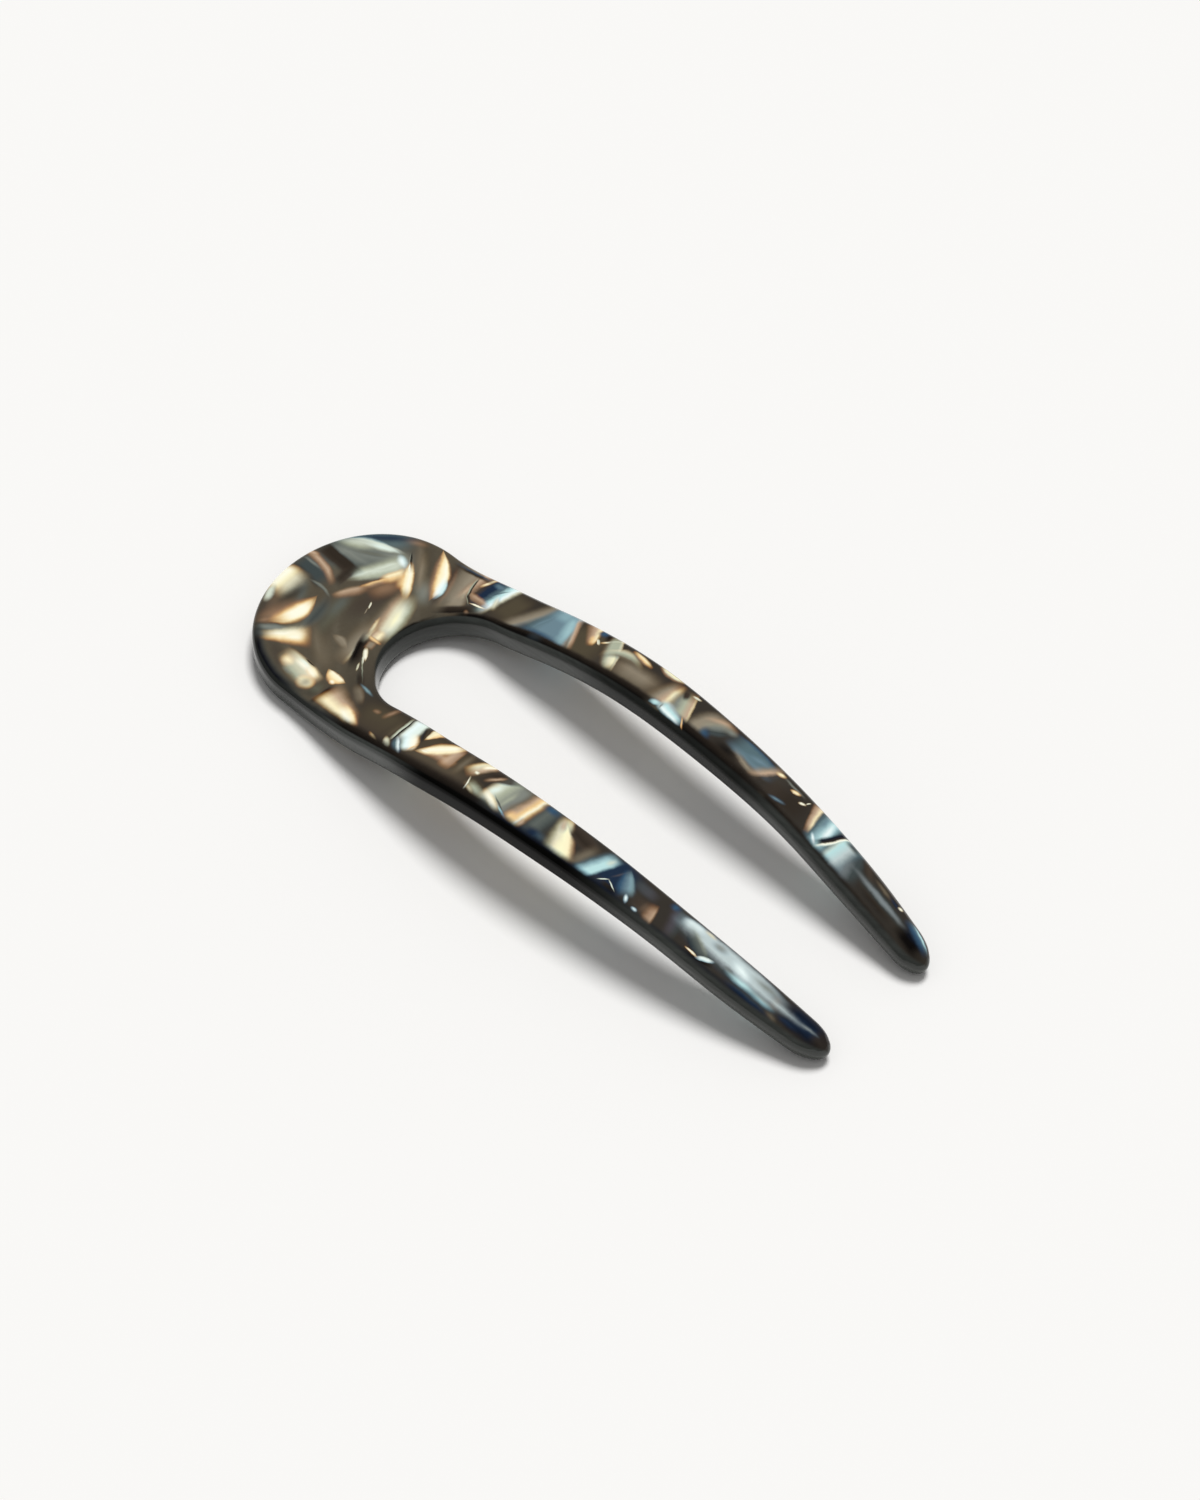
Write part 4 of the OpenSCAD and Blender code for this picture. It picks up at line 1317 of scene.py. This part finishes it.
@dataclass(frozen=True)
class CutEdge:
    """Cut edge of the sheet: charcoal with faint lines along it, and black in two stretches.

    The two are the outside of the right prong and the inside of the left one, and their black is painted
    shade. The edge's grey is partly its own charcoal and partly a painted reflection of the floor. The
    head's edge is darker at the heights of head_top too, by head_top_shade_share: painted shade, which
    leaves it lighter low down, where it reflects the floor. Lengths are in millimetres.
    The lines are noise that is drawn out level by line_stretch.
    """

    # dark is the edge's own charcoal; the grey towards bright is partly a painted reflection of the floor
    dark: Shade = (9, 9, 8)
    bright: Shade = (106, 110, 106)
    # Two stretches of painted shade, where the edge is painted black
    outside_right: PaintedShadeStretch = PaintedShadeStretch(
        starts=(-21.0, -11.0), ends=(34.0, 14.0), beyond=(-9.0, -14.0)
    )
    inside_left: PaintedShadeStretch = PaintedShadeStretch(
        starts=(-14.0, -2.0), ends=(30.0, 20.0), beyond=(5.0, 9.0), share=0.7
    )
    brightness: float = 0.34
    line_contrast: float = 0.35
    line_stretch: float = 0.12
    line_waves: float = 1.6
    line_detail: float = 3.0
    line_rough: float = 0.6
    head_top: Step = (1.4, 3.6)
    head_top_shade_share: float = 0.6

    def colour(
        self, bench: NodeBench, x: Value, y: Value, z: Value, on_head: Value
    ) -> tuple[Link, Value]:
        """Colour of the edge.

        Args:
            bench: the bench of the finish.
            x: place along the pin, in millimetres.
            y: place across the pin.
            z: height.
            on_head: 1 on the head, 0 on the prongs.

        Returns:
            The colour, and how bright it is from 0 to 1.
        """
        # Painted shade: the two black stretches take the edge's brightness
        bright = 1.0 - self.outside_right.taken(bench, x, y) - self.inside_left.taken(bench, x, y)
        drawn_out = bench.vector(x * self.line_stretch, y * self.line_stretch, z)
        lines = bench.noise(drawn_out, self.line_waves, self.line_detail, self.line_rough)
        shade = bench.math("MULTIPLY_ADD", lines, self.line_contrast, self.brightness)
        # Painted shade: the head's edge is darker high up and lighter low down, where it reflects the
        # floor
        painted_top_shade = bench.smooth(*self.head_top, z) * on_head
        shade = bright * shade * (1.0 - painted_top_shade * self.head_top_shade_share)
        return bench.blend(shade, linear(*self.dark), linear(*self.bright)), bright


@dataclass(frozen=True)
class PearlAcetate:
    """Polished acetate sheet with pearl folds near its two faces and a plain dark edge.

    Lengths are in millimetres, and waves are counted per millimetre. The ground is darker on the
    prongs than on the head, with pale clouds and fine brown specks.

    Folds: warp and ripple are how far their outlines stray, in long and in fine waves, and
    grain is how far the tints within one do, as a share of its width. softer_edges and
    softer_ends soften their sides and ends, and least_width keeps pointed ones from a width
    of 0. glow is how far red and blue part where they fade. trace is the share of a fold's
    cover that is added to X, which puts the folds in order for the renderer.

    Rims: painted_reflection_side is the level direction to the studio's camera, but fixed on the pin, so
    it doesn't follow another camera. Rims that face it turn to the edge's colour within rim_ends of the
    outline, which paints a dark reflection on them, and are polished from polish_starts on. Those that
    face away do so nearer to the outline, by away_rim and away_polish.
    """

    edge: CutEdge = CutEdge()
    head_ground: Shade = (86, 79, 66)
    prong_ground: Shade = (55, 51, 46)
    head_starts: Step = (-26.0, -40.0)
    cloud: Shade = (128, 122, 106)
    cloud_share: float = 0.5
    cloud_on_prongs: float = 0.25
    cloud_step: Step = (0.0, 0.6)
    cloud_waves: float = 0.3
    cloud_squash: float = 0.6
    speck: Shade = (62, 55, 46)
    speck_share: float = 0.25
    speck_step: Step = (-0.5, 1.0)
    warp: float = 0.16
    warp_waves: float = 0.6
    ripple: float = 0.05
    grain: float = 0.025
    grain_waves: float = 1.9
    grain_detail: float = 3.0
    grain_rough: float = 0.6
    least_width: float = 0.02
    softer_edges: float = 0.3
    softer_ends: float = 0.55
    glow: float = 0.4
    folds_in_a_layer: int = 10
    trace: float = 1.0e-9
    # Painted dark reflection on the rims that face this side
    painted_reflection_side: tuple[float, float] = (0.69, -0.72)
    painted_reflection_step: Step = (-0.15, 0.35)
    rim_ends: Step = (0.5, 1.15)
    away_rim: float = 0.9
    polish_starts: Step = (0.6, 1.9)
    away_polish: float = 0.6
    roughness: float = 0.14
    ior: float = 1.48
    specular: float = 0.06
    coat: float = 0.55
    coat_roughness: float = 0.03

    def fold_group(self) -> bpy.types.NodeTree:
        """Make the node group that gives a fold's cover and the place across it.

        It passes X on unchanged but for a trace of the cover. So each fold waits for the one
        below it, and the renderer holds the values of one or two folds at a time.

        Returns:
            The group.
        """
        tree = bpy.data.node_groups.new("fold", "ShaderNodeTree")
        turns = ("Along X", "Along Y", "Along", "Side X", "Side Y", "Side")
        shape = ("Ripple", "Bend", "Lens", "Taper", "Strength", "Red", "Blue")
        edges = ("Low", "High", "Start", "End")
        for name in ("X", "Y", "Grain") + turns + shape + edges + tuple(f"{edge} At" for edge in edges):
            tree.interface.new_socket(name, in_out="INPUT", socket_type="NodeSocketFloat")
        tree.interface.new_socket("Cover", in_out="OUTPUT", socket_type="NodeSocketVector")
        for name in ("Across", "X"):
            tree.interface.new_socket(name, in_out="OUTPUT", socket_type="NodeSocketFloat")
        bench = NodeBench(tree)
        given = bench.node("NodeGroupInput").outputs
        x, y, grain = (bench.value(given[name]) for name in ("X", "Y", "Grain"))
        along_x, along_y, along, side_x, side_y, side = (bench.value(given[name]) for name in turns)
        ripple, bend, lens, taper, strength, red, blue = (bench.value(given[name]) for name in shape)
        u = bench.math("MULTIPLY_ADD", y, along_y, bench.math("MULTIPLY_ADD", x, along_x, along))
        v = bench.math("MULTIPLY_ADD", y, side_y, bench.math("MULTIPLY_ADD", x, side_x, side))
        squared = u * u
        width = bench.math("MAXIMUM", (1.0 - squared * lens) * (u * taper + 1.0), self.least_width)
        v = bench.math("MULTIPLY_ADD", grain, ripple, (v - squared * bend) / width)
        across = bench.math("MULTIPLY_ADD", grain, self.grain, v * 0.5 + 0.5)
        rises = [
            bench.math("MULTIPLY_ADD", where, given[edge], given[f"{edge} At"])
            for edge, where in zip(edges, (v, v, u, u))
        ]
        sides = bench.smooth(0.0, 1.0, bench.math("MINIMUM", rises[0], rises[1]))
        ends = bench.smooth(0.0, 1.0, bench.math("MINIMUM", rises[2], rises[3]))
        cover = sides * ends * strength
        passed = bench.math("MULTIPLY_ADD", cover, self.trace, x)
        shares = bench.vector(cover**red, cover, cover**blue)
        bench.node("NodeGroupOutput", {}, {"Cover": shares, "Across": across, "X": passed})
        return tree

    def lay(
        self,
        bench: NodeBench,
        group: bpy.types.NodeTree,
        fold: Fold,
        place: dict[str, Link],
        below: Link,
    ) -> bpy.types.NodeSocket:
        """Lay one fold.

        Args:
            bench: the bench of the layer that the fold is in.
            group: the fold's node group.
            fold: the fold.
            place: X and Y of the surface, in millimetres, and its grain. The fold passes X on.
            below: the colour under the fold.

        Returns:
            The colour with the fold on it.
        """
        turn = math.radians(fold.turn)
        c, s = math.cos(turn), math.sin(turn)
        long, wide = fold.long / 2, fold.wide / 2
        sizes = {
            "Along X": c / long,
            "Along Y": s / long,
            "Along": -(fold.x * c + fold.y * s) / long,
            "Side X": -s / wide,
            "Side Y": c / wide,
            "Side": (fold.x * s - fold.y * c) / wide,
            "Ripple": self.ripple / wide,
            "Bend": fold.bend,
            "Lens": fold.lens,
            "Taper": fold.taper,
            "Strength": fold.strength,
            "Red": 2.0 ** (-self.glow * fold.warmth()),
            "Blue": 2.0 ** (self.glow * fold.warmth()),
        }
        softer = {"low": self.softer_edges, "high": self.softer_edges}
        for edge in ("low", "high", "start", "end"):
            rise, at_edge = fold.fade(edge, softer.get(edge, self.softer_ends))
            name = edge.capitalize()
            sizes[name] = rise if edge in ("low", "start") else -rise
            sizes[f"{name} At"] = at_edge
        made = bench.node("ShaderNodeGroup", {"node_tree": group}, {**place, **sizes})
        place["X"] = made.outputs["X"]
        colour = bench.ramp(made.outputs["Across"], fold.stops())
        return bench.blend_apart(made.outputs["Cover"], below, colour)

    def layer_group(self, group: bpy.types.NodeTree, folds: Sequence[Fold]) -> bpy.types.NodeTree:
        """Make the node group that lays a few folds over the colour below them.

        Args:
            group: the node group of one fold.
            folds: the folds, from the lowest to the topmost.

        Returns:
            The group.
        """
        tree = bpy.data.node_groups.new("layer", "ShaderNodeTree")
        tree.interface.new_socket("Below", in_out="INPUT", socket_type="NodeSocketColor")
        for name in ("X", "Y", "Grain"):
            tree.interface.new_socket(name, in_out="INPUT", socket_type="NodeSocketFloat")
        tree.interface.new_socket("Colour", in_out="OUTPUT", socket_type="NodeSocketColor")
        tree.interface.new_socket("X", in_out="OUTPUT", socket_type="NodeSocketFloat")
        bench = NodeBench(tree)
        given = bench.node("NodeGroupInput").outputs
        place: dict[str, Link] = {name: given[name] for name in ("X", "Y", "Grain")}
        colour: Link = given["Below"]
        for fold in folds:
            colour = self.lay(bench, group, fold, place, colour)
        bench.node("NodeGroupOutput", {}, {"Colour": colour, "X": place["X"]})
        return tree

    def ground(self, bench: NodeBench, x: Value, y: Value, grain: Value, on_head: Value) -> Link:
        """Colour of the sheet under the folds.

        Args:
            bench: the bench of the finish.
            x: place along the pin, in millimetres.
            y: place across the pin.
            grain: fine noise from -1 to 1.
            on_head: 1 on the head, 0 on the prongs.

        Returns:
            The colour.
        """
        plain = bench.blend(on_head, linear(*self.prong_ground), linear(*self.head_ground))
        slant = bench.vector(x + y, y * self.cloud_squash, NoiseSlice.CLOUDS)
        clouds = bench.smooth(*self.cloud_step, bench.noise(slant, self.cloud_waves, detail=1.0))
        light = clouds * (on_head * (1.0 - self.cloud_on_prongs) + self.cloud_on_prongs)
        clouded = bench.blend(light * self.cloud_share, plain, linear(*self.cloud))
        specks = bench.smooth(*self.speck_step, grain) * self.speck_share
        return bench.blend(specks, clouded, linear(*self.speck))

    def pearl(
        self, bench: NodeBench, x: Value, y: Value, on_head: Value, folds: Sequence[Fold]
    ) -> Link:
        """Colour of the sheet's face: its ground with the folds on it.

        Args:
            bench: the bench of the finish.
            x: place along the pin, in millimetres.
            y: place across the pin.
            on_head: 1 on the head, 0 on the prongs.
            folds: the folds to lay, from the lowest to the topmost.

        Returns:
            The colour.
        """
        # Noise runs from -0.5 to 0.5, so it is doubled to reach a full warp and a full grain
        warp_x = bench.noise(bench.vector(x, y, NoiseSlice.WARP_X), self.warp_waves)
        warp_y = bench.noise(bench.vector(y, x, NoiseSlice.WARP_Y), self.warp_waves)
        warped_x = x + warp_x * (2 * self.warp)
        warped_y = y + warp_y * (2 * self.warp)
        fine = bench.vector(x, y, NoiseSlice.GRAIN)
        grain = bench.noise(fine, self.grain_waves, self.grain_detail, self.grain_rough) * 2.0

        colour = self.ground(bench, warped_x, warped_y, grain, on_head)
        place: dict[str, Link] = {"X": warped_x, "Y": warped_y, "Grain": grain}
        group = self.fold_group()
        for first in range(0, len(folds), self.folds_in_a_layer):
            layer = self.layer_group(group, folds[first : first + self.folds_in_a_layer])
            laid = bench.node("ShaderNodeGroup", {"node_tree": layer}, {**place, "Below": colour})
            colour, place["X"] = laid.outputs["Colour"], laid.outputs["X"]
        return colour

    def material(self, name: str, folds: Sequence[Fold]) -> bpy.types.Material:
        """Make the finish.

        Args:
            name: the material's name.
            folds: the folds to lay, from the lowest to the topmost.

        Returns:
            The material.
        """
        made = bpy.data.materials.new(name)
        made.use_nodes = True
        made.node_tree.nodes.clear()
        bench = NodeBench(made.node_tree)
        seen = bench.node("ShaderNodeTexCoord")
        scaled = bench.node(
            "ShaderNodeVectorMath",
            {"operation": "SCALE"},
            {0: seen.outputs["Object"], "Scale": 1.0 / MILLIMETRE},
        )
        x, y, z = bench.parts(scaled.outputs[0])
        on_head = bench.smooth(*self.head_starts, x)
        pearl = self.pearl(bench, x, y, on_head, folds)
        edge, bright = self.edge.colour(bench, x, y, z, on_head)

        inset = bench.value(bench.node("ShaderNodeAttribute", {"attribute_name": INSET}).outputs["Fac"])
        # Painted dark reflection: rims that face the studio camera's side take the edge's colour further
        # in from the outline
        look_x, look_y, _ = bench.parts(seen.outputs["Normal"])
        towards = look_x * self.painted_reflection_side[0] + look_y * self.painted_reflection_side[1]
        away = 1.0 - bench.smooth(*self.painted_reflection_step, towards)
        on_face = bench.smooth(*self.rim_ends, inset + away * self.away_rim)
        polished = bench.smooth(*self.polish_starts, inset + away * self.away_polish)
        coated = bench.math("MAXIMUM", polished, bright * (1.0 - on_face))
        shader = bench.node(
            "ShaderNodeBsdfPrincipled",
            {},
            {
                "Base Color": bench.blend(on_face, edge, pearl),
                "Roughness": self.roughness,
                "IOR": self.ior,
                "Specular IOR Level": self.specular,
                "Coat Weight": coated * self.coat,
                "Coat Roughness": self.coat_roughness,
            },
        )
        bench.node("ShaderNodeOutputMaterial", {}, {"Surface": shader.outputs[0]})
        return made


@dataclass
class HairPin:
    """The whole pin: its blank and its finish.

    The finish is split among patches of the pin, each with the few folds that reach it. Lengths
    are in millimetres. patch_margin is added to a fold's reach, and patch_side is more than
    half of the pin's width. A face stands upright and gets no folds where the normals at all of
    its corners rise less than plain_below.
    """

    blank: PinBlank
    finish: PearlAcetate
    patch_length: float = 10.0
    patch_margin: float = 2.0
    patch_side: float = 30.0
    plain_below: float = 0.5

    def folds_near(self, back: float, front: float, right: float, left: float) -> list[Fold]:
        """Pick the folds that reach a patch.

        Args:
            back: the patch's least X, in millimetres.
            front: its greatest X.
            right: its least Y.
            left: its greatest Y.

        Returns:
            The folds, in their order.
        """
        near = []
        for fold in FOLDS:
            reach_x, reach_y = (side + self.patch_margin for side in fold.reach())
            in_x = back - reach_x < fold.x < front + reach_x
            in_y = right - reach_y < fold.y < left + reach_y
            if in_x and in_y:
                near.append(fold)
        return near

    def dress(self, pin: bpy.types.Object) -> None:
        """Give each patch its finish, and the faces that stand upright one without folds.

        Args:
            pin: the pin's object.
        """
        mesh = pin.data
        upright = self.finish.material("acetate_edge", ())
        mesh.materials.append(upright)
        slots: dict[tuple[int, bool], int] = {}
        for face in mesh.polygons:
            rise = max(abs(mesh.vertices[corner].normal.z) for corner in face.vertices)
            if rise < self.plain_below:
                continue
            x, y = face.center.x / MILLIMETRE, face.center.y / MILLIMETRE
            key = (math.floor(x / self.patch_length), y > 0)
            if key not in slots:
                slots[key] = len(mesh.materials)
                back = key[0] * self.patch_length
                sides = (0.0, self.patch_side) if key[1] else (-self.patch_side, 0.0)
                folds = self.folds_near(back, back + self.patch_length, *sides)
                mesh.materials.append(self.finish.material(f"pearl_acetate_{slots[key]}", folds))
                log.info("%s: %d folds", mesh.materials[-1].name, len(folds))
            face.material_index = slots[key]

    def build(self) -> bpy.types.Object:
        """Make the pin and put it in the place of the CAD solid.

        Returns:
            The pin.
        """
        pin = self.blank.build("pearl_hair_pin")
        self.dress(pin)
        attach(pin, "root")
        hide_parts("hair_pin")
        return pin


@dataclass
class Studio:
    """A plain pale floor, a soft overhead light and a camera at the photo's angle.

    Places are in metres, angles in degrees, and the lens and the sensor in millimetres. key is
    the strength of the overhead light, which comes from the direction of key_from. fill is the
    light of the room, and backdrop is how bright the room looks to the camera. The camera sees
    what lies between nearest and farthest. Its angles, distance, target and lens are those of a
    fit to the pin's outline.
    """

    floor_half: float = 3.0
    floor_colour: tuple[float, float, float, float] = (0.900, 0.892, 0.876, 1.0)
    backdrop: float = 0.93
    fill: float = 0.33
    key: float = 2.46
    key_angle: float = 24.0
    key_from: tuple[float, float, float] = (-0.14, 0.38, 1.0)
    azimuth: float = 44.121
    elevation: float = 50.139
    distance: float = 0.63688
    target: tuple[float, float, float] = (-0.00032, 0.005607, 0.004)
    lens: float = 108.024
    sensor: float = 36.0
    nearest: float = 0.01
    farthest: float = 50.0

    def floor(self) -> bpy.types.Object:
        """Make the floor.

        Returns:
            The floor.
        """
        half = self.floor_half
        mesh = bpy.data.meshes.new("floor")
        corners = [(-half, -half, 0.0), (half, -half, 0.0), (half, half, 0.0), (-half, half, 0.0)]
        mesh.from_pydata(corners, [], [(0, 1, 2, 3)])
        floor = bpy.data.objects.new("floor", mesh)
        bpy.context.scene.collection.objects.link(floor)
        made = bpy.data.materials.new("floor_paper")
        made.use_nodes = True
        made.node_tree.nodes.clear()
        bench = NodeBench(made.node_tree)
        shader = bench.node("ShaderNodeBsdfDiffuse", {}, {"Color": self.floor_colour})
        bench.node("ShaderNodeOutputMaterial", {}, {"Surface": shader.outputs[0]})
        mesh.materials.append(made)
        return floor

    def lights(self) -> None:
        """Make the overhead light and the even fill of the room."""
        key = bpy.data.lights.new("overhead_light", "SUN")
        key.energy = self.key
        key.angle = math.radians(self.key_angle)
        lamp = bpy.data.objects.new("overhead_light", key)
        lamp.rotation_mode = "QUATERNION"
        lamp.rotation_quaternion = Vector(self.key_from).to_track_quat("Z", "Y")
        lamp.visible_glossy = False
        bpy.context.scene.collection.objects.link(lamp)

        room = bpy.data.worlds.new("room")
        room.use_nodes = True
        room.node_tree.nodes.clear()
        bench = NodeBench(room.node_tree)
        ray = bench.node("ShaderNodeLightPath")
        strength = bench.value(ray.outputs["Is Camera Ray"]) * (self.backdrop - self.fill) + self.fill
        white = (1.0, 1.0, 1.0, 1.0)
        light = bench.node("ShaderNodeBackground", {}, {"Color": white, "Strength": strength})
        bench.node("ShaderNodeOutputWorld", {}, {"Surface": light.outputs[0]})
        room.cycles_visibility.glossy = False
        bpy.context.scene.world = room

    def camera(self) -> bpy.types.Object:
        """Make the camera.

        Returns:
            The camera.
        """
        azimuth, elevation = math.radians(self.azimuth), math.radians(self.elevation)
        level = math.cos(elevation)
        back = Vector((math.sin(azimuth) * level, -math.cos(azimuth) * level, math.sin(elevation)))
        data = bpy.data.cameras.new("camera")
        data.sensor_width = self.sensor
        data.lens = self.lens
        data.clip_start = self.nearest
        data.clip_end = self.farthest
        camera = bpy.data.objects.new("camera", data)
        camera.location = Vector(self.target) + back * self.distance
        camera.rotation_mode = "QUATERNION"
        camera.rotation_quaternion = (-back).to_track_quat("-Z", "Y")
        bpy.context.scene.collection.objects.link(camera)
        bpy.context.scene.camera = camera
        return camera

    def build(self) -> None:
        """Make the floor, the lights and the camera, and show colours as they are."""
        self.floor()
        self.lights()
        self.camera()
        view = bpy.context.scene.view_settings
        view.view_transform = "Standard"
        view.look = "None"
        view.exposure = 0.0
        view.gamma = 1.0


def main() -> None:
    """Load the frame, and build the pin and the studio."""
    logging.basicConfig(level=logging.INFO, format="%(message)s")
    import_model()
    pin = HairPin(PinBlank(), PearlAcetate()).build()
    log.info("%s: %d faces", pin.name, len(pin.data.polygons))
    Studio().build()
    log.info("studio: floor, lights and camera")


if __name__ == "__main__":
    main()
